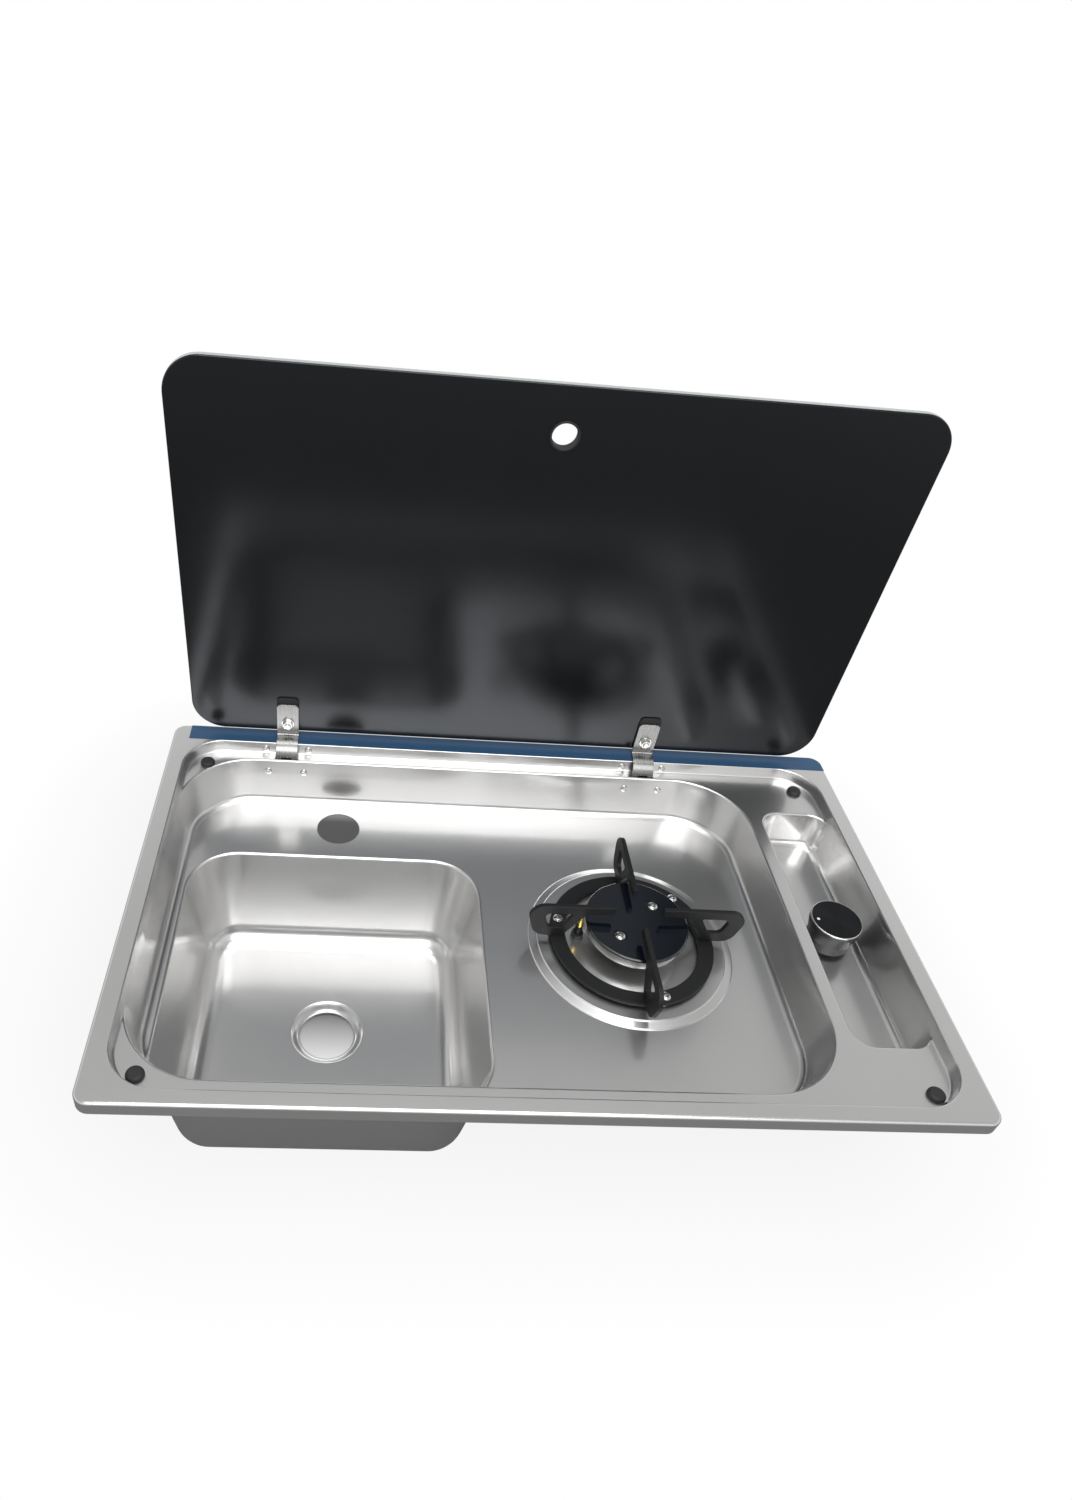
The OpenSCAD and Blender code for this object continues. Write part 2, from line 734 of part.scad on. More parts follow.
module hinge_pin(x) {
  reach = cheek_x + box_t;
  color([0.6, 0.6, 0.6]) translate([x, pin_y, pin_z]) rotate([0, 90, 0]) {
    translate([0, 0, -reach]) cylinder(h = 2 * reach, r = pin_d / 2, $fn = 48);
    for (z = [-reach - 1, reach]) translate([0, 0, z]) cylinder(h = 1, r = pin_d / 2 + 0.7, $fn = 48);
  }
}

// Leaf that rubs on the strap's neck and holds the lid where it is put
module hinge_spring(x) {
  seat = box_t + 0.1;
  far_low = pan_wall_y(box_low + 3) + seat;
  leaf_y = pan_wall_y(spring_bend_z) + seat;
  crown_y = pin_y - neck_r - strap_t - run_gap - spring_t;
  color([0.7, 0.7, 0.7]) across(x, strap_w - 5)
    polygon([[far_low, box_low + 3], [far_low + spring_t, box_low + 3], [leaf_y + spring_t, spring_bend_z],
      [crown_y + spring_t, spring_turn_z], [crown_y + spring_t, spring_top_z], [crown_y, spring_top_z],
      [crown_y, spring_turn_z - 0.3], [leaf_y, spring_bend_z - 0.4]]);
}

module hinge_rivets() {
  color(steel) for (x = hinge_xs) rivet_places(x) {
    grip = sheet_t + 0.1 + box_t;
    rotate_extrude($fn = 32) polygon([[0, 0], [0, -rivet_head_h], [rivet_head_d / 2 - 1.6, -rivet_head_h],
      [rivet_head_d / 2 - 0.4, 0.5 - rivet_head_h], [rivet_head_d / 2, 0]]);
    cylinder(h = grip, r = rivet_r, $fn = 32);
    translate([0, 0, grip]) cylinder(h = sheet_t, r = rivet_r + 0.7, $fn = 32);
  }
}

module lid_bumpers() {
  r = bumper_d / 2;
  color(rubber) for (x = [-bumper_x, bumper_x], y = bumper_ys) translate([x, y, 0]) rotate_extrude($fn = 48)
    polygon(concat([[0, ledge_z - sheet_t - 1.6], [stud_r + 0.6, ledge_z - sheet_t - 1], [stud_r, ledge_z - sheet_t],
      [stud_r, ledge_z], [r, ledge_z]], arc(r - 1.2, bumper_top - 1.2, 1.2, 0, 90, 6), [[0, bumper_top]]));
}

// Side view of one support arm, from the burner's axis outwards: beam, round end, foot and brace round a loop
module arm_profile() {
  foot_z = ring_top_z;
  nose_x = arm_reach - arm_nose_r;
  nose_z = support_top_z - arm_nose_r;
  toe_z = foot_z + arm_nose_r;
  loop_x = arm_reach - arm_nose_w - arm_loop_r;
  loop_top = support_top_z - arm_beam;
  loop_low = foot_z + arm_foot;
  loop_fall = loop_top - loop_low - 2 * arm_loop_r;
  heel_x = ring_mid_r - 2.8;
  knee_x = heel_x - arm_brace;
  difference() {
    polygon(concat([[arm_inner, support_top_z]], arc(nose_x, nose_z, arm_nose_r, 90, -arm_lean, 16),
      arc(nose_x - (nose_z - toe_z) * tan(arm_lean), toe_z, arm_nose_r, -arm_lean, -90, 12),
      [[heel_x, foot_z], [knee_x, loop_top], [arm_inner, support_top_z - 7]]));
    polygon(concat(arc(loop_x, loop_top - arm_loop_r, arm_loop_r, 90, -arm_lean, 10),
      arc(loop_x - loop_fall * tan(arm_lean), loop_low + arm_loop_r, arm_loop_r, -arm_lean, -90, 8),
      [[heel_x + 2.5, loop_low], [knee_x + arm_loop_in, loop_top]]));
  }
}

module pan_support() {
  color([0.12, 0.12, 0.12]) translate([burner_x, burner_y, 0]) {
    difference() {
      translate([0, 0, ring_low_z]) cylinder(h = support_ring_t, r = support_ring_d / 2, $fn = round_fn);
      translate([0, 0, ring_low_z - 1])
        cylinder(h = support_ring_t + 2, r = support_ring_d / 2 - support_ring_w, $fn = round_fn);
      for (a = support_screw_angles) rotate(a)
        translate([ring_mid_r, 0, ring_low_z - 1]) cylinder(h = support_ring_t + 2, r = support_screw_r, $fn = 32);
    }
    for (a = [0:90:270]) rotate(a) translate([0, arm_t / 2, 0]) rotate([90, 0, 0]) linear_extrude(arm_t) arm_profile();
  }
}

// Raised round screw head with a straight shank
module small_screw(shank_r, shank_l) {
  rotate_extrude($fn = 48) polygon([[0, head_h], [head_d / 2 - 1.4, head_h], [head_d / 2 - 0.4, head_h - 0.6],
    [head_d / 2, head_h - 1.4], [head_d / 2, 0], [0, 0]]);
  translate([0, 0, -shank_l]) cylinder(h = shank_l + eps, r = shank_r, $fn = 32);
}

module support_screws() {
  color(steel) translate([burner_x, burner_y, ring_top_z]) for (a = support_screw_angles) rotate(a)
    translate([ring_mid_r, 0, 0]) small_screw(support_screw_r, support_ring_t + spacer_h + sheet_t + 4);
}

module support_spacers() {
  color(steel) translate([burner_x, burner_y, disc_z]) for (a = support_screw_angles) rotate(a)
    translate([ring_mid_r, 0, 0]) difference() {
      cylinder(h = spacer_h, r = 4, $fn = 48);
      translate([0, 0, -1]) cylinder(h = spacer_h + 2, r = support_screw_r, $fn = 32);
    }
}

module cap_screw_places() {
  for (a = [45, 225]) rotate(a) translate([cap_screw_pitch / 2, 0, 0]) children();
}

module burner_cap() {
  r = cap_d / 2;
  color([0.06, 0.07, 0.08]) translate([burner_x, burner_y, 0]) difference() {
    translate([0, 0, head_top_z]) rotate_extrude($fn = round_fn)
      polygon(concat([[0, 0], [r - 0.8, 0], [r, 0.8]], arc(r - 2.2, cap_t - 2.6, 2.2, 0, 80, 6), [[0, cap_t]]));
    cap_screw_places() {
      translate([0, 0, head_top_z - 1]) cylinder(h = cap_t + 2, r = 2, $fn = 32);
      translate([0, 0, cap_z - 1.2]) cylinder(h = 3, r = screw_seat_r, $fn = 48);
    }
  }
}

module cap_screws() {
  color(steel) translate([burner_x, burner_y, cap_z - 1.2]) cap_screw_places() small_screw(2, cap_screw_l);
}

module burner_head() {
  color([0.8, 0.8, 0.79]) translate([burner_x, burner_y, 0]) difference() {
    translate([0, 0, head_low_z]) rotate_extrude($fn = round_fn)
      polygon([[burner_neck_d / 2 - 6, 0], [head_ring_d / 2 - 3, 0], [head_ring_d / 2, 1.6],
        [head_ring_d / 2, head_ring_h], [burner_neck_d / 2 - 8, head_ring_h], [burner_neck_d / 2 - 8, 3],
        [burner_neck_d / 2 - 6, 3]]);
    for (i = [0:port_count - 1]) rotate(i * 360 / port_count)
      translate([burner_neck_d / 2 + 5, -port_w / 2, head_top_z - port_h]) cube([20, port_w, port_h + 1]);
    cap_screw_places() translate([0, 0, cap_z - 1.7 - cap_screw_l]) cylinder(h = 20, r = 2, $fn = 32);
  }
}

module burner_base() {
  low = disc_z + gasket_t;
  color([0.62, 0.62, 0.61]) translate([burner_x, burner_y, 0]) rotate_extrude($fn = round_fn)
    polygon([[mix_bore_r, mix_low_z], [mix_d / 2, mix_low_z], [mix_d / 2, low], [flange_d / 2, low],
      [flange_d / 2, low + flange_t - 1], [flange_d / 2 - 1, low + flange_t], [burner_neck_d / 2, low + flange_t],
      [burner_neck_d / 2, head_low_z], [burner_neck_d / 2 - 6, head_low_z],
      [burner_neck_d / 2 - 6, low + flange_t + 1], [mix_bore_r, low + flange_t - 2]]);
}

module burner_gasket() {
  color([0.35, 0.35, 0.35]) translate([burner_x, burner_y, disc_z]) difference() {
    cylinder(h = gasket_t, r = flange_d / 2 - 1, $fn = 64);
    translate([0, 0, -1]) cylinder(h = gasket_t + 2, r = mix_d / 2, $fn = 64);
  }
}

module burner_nut() {
  color(steel) translate([burner_x, burner_y, disc_z - sheet_t - 5]) difference() {
    hex(mix_d + 10, 5);
    translate([0, 0, -1]) cylinder(h = 7, r = mix_d / 2, $fn = 64);
  }
}

module injector() {
  color(brass) translate([burner_x, burner_y, 0]) difference() {
    union() {
      translate([0, 0, mix_low_z - 6]) hex(8, 6);
      translate([0, 0, mix_low_z]) cylinder(h = 3, r = 2.6, $fn = 32);
    }
    translate([0, 0, mix_low_z - 7]) cylinder(h = 8.5, r = 1.5, $fn = 32);
  }
}

// Cup that grips the mixing tube, with air windows, an elbow below and its inlet towards the valve
module injector_holder() {
  cup_r = mix_d / 2 + 2;
  cup_low = mix_low_z - 9;
  color([0.66, 0.66, 0.64]) translate([burner_x, burner_y, 0]) difference() {
    union() {
      difference() {
        translate([0, 0, cup_low]) cylinder(h = 15, r = cup_r, $fn = 64);
        translate([0, 0, cup_low + 3]) cylinder(h = 20, r = mix_d / 2, $fn = 64);
        for (a = [45:90:315]) rotate(a) translate([0, -5, cup_low + 3]) cube([cup_r + 2, 10, 6]);
      }
      translate([0, 0, holder_low_z]) cylinder(h = cup_low - holder_low_z + eps, r = 7, $fn = 48);
      translate([0, 0, feed_z]) rotate([0, 90, 0]) cylinder(h = feed_x0 - burner_x, r = 5, $fn = 48);
    }
    translate([0, 0, feed_z]) cylinder(h = 30, r = 1.5, $fn = 32);
    translate([0, 0, feed_z]) rotate([0, 90, 0]) cylinder(h = 40, r = 2, $fn = 32);
  }
}

module flame_sensor() {
  color(brass) translate([sensor_x, sensor_y, 0]) {
    translate([0, 0, sensor_low_z]) cylinder(h = sensor_top_z - 5 - sensor_low_z, r = 3, $fn = 32);
    translate([0, 0, sensor_top_z - 5]) rotate_extrude($fn = 32)
      polygon(concat([[0, 0], [2.2, 0], [2.2, 3]], arc(0, 2.8, 2.2, 10, 90, 6)));
  }
}

module sensor_nut() {
  color(brass) translate([sensor_x, sensor_y, 0]) for (z = [disc_z, disc_z - sheet_t - 4]) translate([0, 0, z])
    difference() {
      hex(9, 4);
      translate([0, 0, -1]) cylinder(h = 6, r = 3, $fn = 32);
    }
}

// Route of the sensor's lead, in steps of a few centimetres, and the smooth curve through it
lead_d = 2;
lead_route = [
  [sensor_x, sensor_y, sensor_low_z], [sensor_x, sensor_y, sensor_low_z - 12], [54, 8, -74], [80, 26, -84],
  [125, 32, -92], [175, 24, -104], [215, 10, -116], [240, 0, -121], [knob_x, knob_y, magnet_nut_low_z - 10],
  [knob_x, knob_y, magnet_nut_low_z]
];
lead_steps = 5;
lead_sides = 8;
function spline(a, b, c, d, t) =
  0.5 * (2 * b + (c - a) * t + (2 * a - 5 * b + 4 * c - d) * t * t + (3 * b - a - 3 * c + d) * t * t * t);
lead_last = len(lead_route) - 1;
lead_line = [
  for (i = [0:lead_last - 1], s = [0:lead_steps - 1])
    spline(lead_route[max(i - 1, 0)], lead_route[i], lead_route[i + 1], lead_route[min(i + 2, lead_last)], s / lead_steps),
  lead_route[lead_last]
];
function unit(v) = v / norm(v);
function heading(line, i) =
  i == 0 || i == len(line) - 1 ? [0, 0, i == 0 ? -1 : 1] : unit(line[i + 1] - line[i - 1]);

// Round tube along a line of points
module tube(line, r, sides) {
  rings = len(line);
  points = [
    for (i = [0:rings - 1])
      let (t = heading(line, i), a = unit(cross(t, [0, 1, 0])), b = cross(t, a))
        for (k = [0:sides - 1]) line[i] + r * (cos(360 * k / sides) * a + sin(360 * k / sides) * b)
  ];
  walls = [
    for (i = [0:rings - 2], k = [0:sides - 1])
      let (n = (k + 1) % sides, p = i * sides, q = (i + 1) * sides)
        each [[p + k, p + n, q + n], [p + k, q + n, q + k]]
  ];
  ends = [[for (k = [sides - 1:-1:0]) k], [for (k = [0:sides - 1]) (rings - 1) * sides + k]];
  polyhedron(points = points, faces = concat(walls, ends));
}

module sensor_lead() {
  color([0.72, 0.45, 0.3]) tube(lead_line, lead_d / 2, lead_sides);
}

module at_knob() {
  translate([knob_x, knob_y, 0]) children();
}

module knob() {
  r = knob_d / 2;
  foot = knob_foot_d / 2;
  color([0.07, 0.07, 0.07]) at_knob() difference() {
    translate([0, 0, knob_low_z]) rotate_extrude($fn = round_fn)
      polygon(concat([[0, 0], [foot - 0.6, 0], [foot, 0.6], [foot, knob_h * 0.35], [r - 0.5, knob_h - 5]],
        arc(r - 1.6, knob_h - 1.6, 1.6, 0, 90, 6), [[0, knob_h]]));
    translate([0, 0, knob_low_z - 1]) cylinder(h = knob_h - 9, r = foot - 2.2, $fn = 64);
    translate([0, 0, knob_low_z - 1]) cylinder(h = stem_top_z - knob_low_z + 1, r = stem_d / 2 - 0.5, $fn = 48);
    translate([-r + 5, 0, knob_top_z - 0.5]) cylinder(h = 2, r = 1.6, $fn = 32);
  }
}

module knob_marker() {
  color("white") at_knob() translate([-knob_d / 2 + 5, 0, knob_top_z - 0.5]) cylinder(h = 0.5, r = 1.6, $fn = 32);
}

module valve_stem() {
  color([0.7, 0.7, 0.7]) at_knob() {
    translate([0, 0, stem_low_z]) cylinder(h = neck_top_z - stem_low_z, r = stem_d / 2, $fn = 48);
    translate([0, 0, neck_top_z]) cylinder(h = stem_top_z - neck_top_z, r = stem_d / 2 - 0.5, $fn = 48);
  }
}

module valve_plunger() {
  color(brass) at_knob() translate([0, 0, plunger_low_z])
    cylinder(h = stem_low_z - plunger_low_z, r = plunger_r, $fn = 32);
}

module valve_spring() {
  color(steel) at_knob() translate([0, 0, spring_low_z]) difference() {
    cylinder(h = stem_low_z - spring_low_z, r = stem_d / 2 - 0.5, $fn = 32);
    translate([0, 0, -1]) cylinder(h = 20, r = stem_d / 2 - 1.5, $fn = 32);
  }
}

module valve_body() {
  flange_low = valve_top_z - valve_flange_t;
  color([0.68, 0.66, 0.6]) at_knob() difference() {
    union() {
      translate([0, 0, flange_low]) cylinder(h = valve_flange_t, r = 14, $fn = 64);
      translate([0, 0, flange_low]) cylinder(h = neck_top_z - flange_low, r = neck_d / 2, $fn = 64);
      translate([-valve_w / 2, -valve_w / 2, valve_low_z]) cube([valve_w, valve_w, valve_h]);
      translate([-valve_w / 2 - feed_boss, 0, feed_z]) rotate([0, 90, 0]) cylinder(h = feed_boss + 1, r = 5, $fn = 48);
      translate([0, valve_w / 2 - 1, inlet_z]) rotate([-90, 0, 0]) cylinder(h = feed_boss + 1, r = 6.5, $fn = 48);
    }
    translate([0, 0, spring_low_z]) cylinder(h = big, r = stem_d / 2 + stem_play, $fn = 48);
    translate([0, 0, valve_low_z - 1]) cylinder(h = big / 4, r = plunger_r + stem_play, $fn = 32);
    translate([-valve_w / 2 - feed_boss - 1, 0, feed_z]) rotate([0, 90, 0]) cylinder(h = 20, r = 2, $fn = 32);
    translate([0, valve_w / 2 + feed_boss + 1, inlet_z]) rotate([90, 0, 0]) cylinder(h = 16, r = 3, $fn = 32);
  }
}

module valve_gasket() {
  color(rubber) at_knob() translate([0, 0, valve_top_z]) difference() {
    cylinder(h = gasket_t, r = 13, $fn = 64);
    translate([0, 0, -1]) cylinder(h = gasket_t + 2, r = neck_d / 2, $fn = 64);
  }
}

module valve_neck_nut() {
  color(steel) at_knob() translate([0, 0, trough_z]) difference() {
    hex(neck_d + 5, neck_nut_h);
    translate([0, 0, -1]) cylinder(h = neck_nut_h + 2, r = neck_d / 2, $fn = 64);
  }
}

module magnet_unit() {
  color([0.6, 0.6, 0.58]) at_knob() difference() {
    translate([0, 0, magnet_low_z]) cylinder(h = magnet_h, r = magnet_d / 2, $fn = 48);
    translate([0, 0, valve_low_z - 6]) cylinder(h = 7, r = 4, $fn = 32);
  }
}

module magnet_nut() {
  color(brass) at_knob() translate([0, 0, magnet_nut_low_z]) hex(9, magnet_low_z - magnet_nut_low_z);
}

module feed_pipe() {
  color([0.75, 0.75, 0.73]) translate([feed_x0, burner_y, feed_z]) rotate([0, 90, 0]) difference() {
    cylinder(h = feed_x1 - feed_x0, r = feed_d / 2, $fn = 48);
    translate([0, 0, -1]) cylinder(h = feed_x1 - feed_x0 + 2, r = feed_d / 2 - 0.8, $fn = 48);
  }
}

module feed_nuts() {
  color(brass) for (x = [feed_x0, feed_x1 - feed_nut_l]) translate([x, burner_y, feed_z]) rotate([0, 90, 0])
    difference() {
      hex(feed_nut_flats, feed_nut_l);
      translate([0, 0, -1]) cylinder(h = feed_nut_l + 2, r = feed_d / 2, $fn = 48);
    }
}

module inlet_pipe() {
  start = knob_y + valve_w / 2 + feed_boss;
  color([0.75, 0.75, 0.73]) translate([knob_x, start, inlet_z]) rotate([-90, 0, 0]) difference() {
    union() {
      cylinder(h = inlet_reach - start, r = inlet_d / 2, $fn = 48);
      cylinder(h = inlet_nut_l, r = inlet_sleeve_r, $fn = 48);
    }
    translate([0, 0, -1]) cylinder(h = inlet_reach + 2, r = inlet_d / 2 - 1, $fn = 48);
  }
}

module inlet_nut() {
  color(brass) translate([knob_x, knob_y + valve_w / 2 + feed_boss, inlet_z]) rotate([-90, 0, 0]) difference() {
    hex(inlet_nut_flats, inlet_nut_l);
    translate([0, 0, -1]) cylinder(h = inlet_nut_l + 2, r = inlet_sleeve_r, $fn = 48);
  }
}

// Puts a piece drawn with +Y away from the wall at a clamp's spot
module at_clamp(spot) {
  translate([spot[0], spot[1], 0]) rotate(spot[2]) children();
}

// Outside of a wall that leans in below the ledge, measured from its edge at the ledge
function wall_out(z, slope) = sheet_t + 0.1 - slope * (ledge_z - z);

module clamp_bracket(slope) {
  top = wall_out(0, slope);
  low = wall_out(clamp_low_z, slope);
  difference() {
    across(0, clamp_w) polygon([[top, 0], [top + clamp_t, 0], [low + clamp_t + 1, clamp_low_z + clamp_t],
      [clamp_reach, clamp_low_z + clamp_t], [clamp_reach, clamp_low_z], [low, clamp_low_z]]);
    translate([0, clamp_reach - 5, clamp_low_z - 1]) cylinder(h = clamp_t + 2, r = clamp_screw_r, $fn = 32);
  }
}

module clamp_brackets() {
  color(steel) for (spot = clamp_spots) at_clamp(spot) clamp_bracket(spot[3]);
}

module clamp_screws() {
  color(steel) for (spot = clamp_spots) at_clamp(spot) translate([0, clamp_reach - 5, clamp_low_z]) {
    translate([0, 0, -clamp_tail])
      cylinder(h = clamp_tail - worktop_t - clamp_low_z, r = clamp_screw_r, $fn = 32);
    translate([0, 0, -clamp_tail - clamp_head_h]) cylinder(h = clamp_head_h, r = clamp_head_r, $fn = 32);
  }
}

tray_rim();
hob_pan();
sink_bowl();
control_trough();
rim_seal();
protective_film();
glass_lid();
finger_ring();
hinge_strap(hinge_xs[0]);  // hinge_strap_left
hinge_strap(hinge_xs[1]);  // hinge_strap_right
hinge_pad(hinge_xs[0]);  // hinge_pad_left
hinge_pad(hinge_xs[1]);  // hinge_pad_right
lid_screws();
lid_nuts();
lid_washers();
hinge_box(hinge_xs[0]);  // hinge_box_left
hinge_box(hinge_xs[1]);  // hinge_box_right
hinge_pin(hinge_xs[0]);  // hinge_pin_left
hinge_pin(hinge_xs[1]);  // hinge_pin_right
hinge_spring(hinge_xs[0]);  // hinge_spring_left
hinge_spring(hinge_xs[1]);  // hinge_spring_right
hinge_rivets();
lid_bumpers();
pan_support();
support_screws();
support_spacers();
burner_cap();
cap_screws();
burner_head();
burner_base();
burner_gasket();
burner_nut();
injector();
injector_holder();
flame_sensor();
sensor_nut();
sensor_lead();
knob();
knob_marker();
valve_stem();
valve_plunger();
valve_spring();
valve_body();
valve_gasket();
valve_neck_nut();
magnet_unit();
magnet_nut();
feed_pipe();
feed_nuts();
inlet_pipe();
inlet_nut();
clamp_brackets();
clamp_screws();
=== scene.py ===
"""Looks of the drop-in hob and sink unit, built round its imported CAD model.

Lengths in this file are millimetres in the CAD frame: X to the right, Y to the back, Z up,
with Z = 0 at the worktop. PieceGroup turns them into Blender's metres.
"""

import logging
import math
from contextlib import contextmanager
from dataclasses import dataclass
from enum import Enum
from typing import Callable, Iterator, Sequence

import bpy
import numpy as np
from mathutils import Matrix, Vector, geometry


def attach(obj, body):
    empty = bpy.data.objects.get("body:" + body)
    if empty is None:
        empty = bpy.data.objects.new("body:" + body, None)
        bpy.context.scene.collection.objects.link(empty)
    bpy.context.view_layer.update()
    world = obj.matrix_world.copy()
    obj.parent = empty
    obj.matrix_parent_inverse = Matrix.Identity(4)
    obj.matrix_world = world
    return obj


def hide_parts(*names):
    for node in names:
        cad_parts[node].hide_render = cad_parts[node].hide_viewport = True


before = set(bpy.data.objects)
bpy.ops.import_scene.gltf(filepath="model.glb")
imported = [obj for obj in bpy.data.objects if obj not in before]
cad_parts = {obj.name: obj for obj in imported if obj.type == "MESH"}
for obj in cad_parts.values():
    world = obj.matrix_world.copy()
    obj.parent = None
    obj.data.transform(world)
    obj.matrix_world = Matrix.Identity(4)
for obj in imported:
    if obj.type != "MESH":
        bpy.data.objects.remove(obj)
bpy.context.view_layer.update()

LOG = logging.getLogger("hob_and_sink")
MM = 0.001
UP = np.array([0.0, 0.0, 1.0])
TOUCHING = 1e-9
MERGING = 1e-6
STRAIGHT_TURN = 1e-6
SHARPEST = 0.2

Materials = dict[str, bpy.types.Material]

# Places and heights that several pieces share
BURNER_AXIS = (91.0, -4.0)
KNOB_AXIS = (250.85, -2.75)
SENSOR_AXIS = (48.16, -0.25)
DRAIN = (-147.0, -32.5)
TAP = (-147.0, 112.9)
HINGE_XS = (-195.7, 124.2)
RIM_RISE = 10.8
LEDGE = 0.8
DISC_TOP = -36.2

# How many sides a round shape has, from the smallest pieces to the widest
TINY, SMALL, MIDDLE, WIDE = 32, 40, 48, 120


class Body(str, Enum):
    """The CAD bodies that pieces ride on."""

    TRAY = "tray"
    LID = "lid"
    KNOB = "knob"


# Outlines


@dataclass(frozen=True)
class Corner:
    """A corner of an outline and the radius that rounds it."""

    x: float
    y: float
    radius: float = 0.0


@dataclass(frozen=True)
class Line:
    """Spots along an outline, each with its exact outward normal."""

    spots: np.ndarray
    normals: np.ndarray
    closed: bool = True

    def flipped(self) -> "Line":
        """The same spots with their normals the other way, as the edge of a hole has them."""
        return Line(self.spots, -self.normals, self.closed)


def right_of(direction: np.ndarray) -> np.ndarray:
    """The unit vector to the right of a direction in the plane."""
    return np.array([direction[1], -direction[0]]) / np.linalg.norm(direction)


def turned(vector: np.ndarray, angle: float) -> np.ndarray:
    """A plane vector turned anticlockwise by an angle in radians."""
    c, s = math.cos(angle), math.sin(angle)
    return np.array([c * vector[0] - s * vector[1], s * vector[0] + c * vector[1]])


def trace(
    corners: Sequence[Corner], closed: bool = True, turn_step: float = 9.0, longest: float = 0.0
) -> Line:
    """Rounds the corners of an outline that runs anticlockwise round its material.

    Args:
        corners: the corners in order.
        closed: whether the last corner joins the first.
        turn_step: the largest turn between two spots of an arc, in degrees.
        longest: the longest straight stretch between two spots, or 0 for no limit.

    Returns:
        The outline with exact normals. A sharp corner appears twice, once with each side's normal.
    """
    spots: list[np.ndarray] = []
    normals: list[np.ndarray] = []
    count = len(corners)
    for i, corner in enumerate(corners):
        here = np.array([corner.x, corner.y], float)
        before = np.array([corners[i - 1].x, corners[i - 1].y], float)
        nxt = corners[(i + 1) % count]
        after = np.array([nxt.x, nxt.y], float)
        if not closed and i in (0, count - 1):
            spots.append(here)
            normals.append(right_of(after - here if i == 0 else here - before))
            continue
        u = (here - before) / np.linalg.norm(here - before)
        v = (after - here) / np.linalg.norm(after - here)
        turn = math.atan2(u[0] * v[1] - u[1] * v[0], float(u @ v))
        if abs(turn) < STRAIGHT_TURN:
            spots.append(here)
            normals.append(right_of(u))
        elif corner.radius <= 0:
            spots += [here, here]
            normals += [right_of(u), right_of(v)]
        else:
            side = math.copysign(1.0, turn)
            start = here - u * corner.radius * math.tan(abs(turn) / 2)
            centre = start - right_of(u) * corner.radius * side
            steps = max(1, math.ceil(abs(math.degrees(turn)) / turn_step))
            for k in range(steps + 1):
                n = turned(right_of(u), turn * k / steps)
                spots.append(centre + n * corner.radius * side)
                normals.append(n)
    if longest > 0:
        spots, normals = split_straights(spots, normals, closed, longest)
    return Line(np.array(spots), np.array(normals), closed)


def shape(*corners: tuple[float, ...], closed: bool = True, turn_step: float = 9.0) -> Line:
    """The outline through corners given as x, y and rounding, or as radius, height and rounding."""
    return trace([Corner(*corner) for corner in corners], closed, turn_step)


def split_straights(
    spots: list[np.ndarray], normals: list[np.ndarray], closed: bool, longest: float
) -> tuple[list[np.ndarray], list[np.ndarray]]:
    """Adds spots along the stretches that are longer than a limit.

    Args:
        spots: the outline's spots.
        normals: their normals.
        closed: whether the last spot joins the first.
        longest: the longest stretch allowed.

    Returns:
        The new spots and normals.
    """
    out_spots: list[np.ndarray] = []
    out_normals: list[np.ndarray] = []
    count = len(spots)
    for i in range(count):
        out_spots.append(spots[i])
        out_normals.append(normals[i])
        if i == count - 1 and not closed:
            break
        j = (i + 1) % count
        length = float(np.linalg.norm(spots[j] - spots[i]))
        parts = math.ceil(length / longest)
        for k in range(1, parts):
            out_spots.append(spots[i] + (spots[j] - spots[i]) * k / parts)
            out_normals.append(normals[i])
    return out_spots, out_normals


def ring(radius: float, steps: int = 64, centre: tuple[float, float] = (0.0, 0.0)) -> Line:
    """A circle as a closed outline."""
    angles = np.arange(steps) * 2 * math.pi / steps
    normals = np.stack([np.cos(angles), np.sin(angles)], axis=1)
    return Line(normals * radius + np.array(centre), normals)


def box_outline(x0: float, x1: float, y0: float, y1: float, radius: float) -> list[Corner]:
    """The four corners of a rounded rectangle, anticlockwise."""
    return [Corner(x0, y0, radius), Corner(x1, y0, radius), Corner(x1, y1, radius), Corner(x0, y1, radius)]


def hexagon(across: float, radius: float) -> list[Corner]:
    """The corners of a hexagon with the given size across its flats."""
    far = across / math.sqrt(3)
    angles = [math.radians(60 * k) for k in range(6)]
    return [Corner(far * math.cos(a), far * math.sin(a), radius) for a in angles]


# Meshes with exact normals


def triangulate(loops: Sequence[np.ndarray], tolerance: float) -> tuple[np.ndarray, np.ndarray, list[int]]:
    """Joins closed loops by triangles, with every side of a loop as an edge.

    Args:
        loops: the loops, each (n, 2).
        tolerance: the distance under which two spots are one.

    Returns:
        The spots, the triangles among them, and for each spot its place in the joined loops or -1.
    """
    edges: list[tuple[int, int]] = []
    start = 0
    for loop in loops:
        edges += [(start + i, start + (i + 1) % len(loop)) for i in range(len(loop))]
        start += len(loop)
    made = geometry.delaunay_2d_cdt([Vector(p) for p in np.concatenate(loops)], edges, [], 0, tolerance)
    source = [o[0] if len(o) else -1 for o in made[3]]
    return np.array([tuple(v) for v in made[0]]), np.array([tuple(f) for f in made[2]]), source


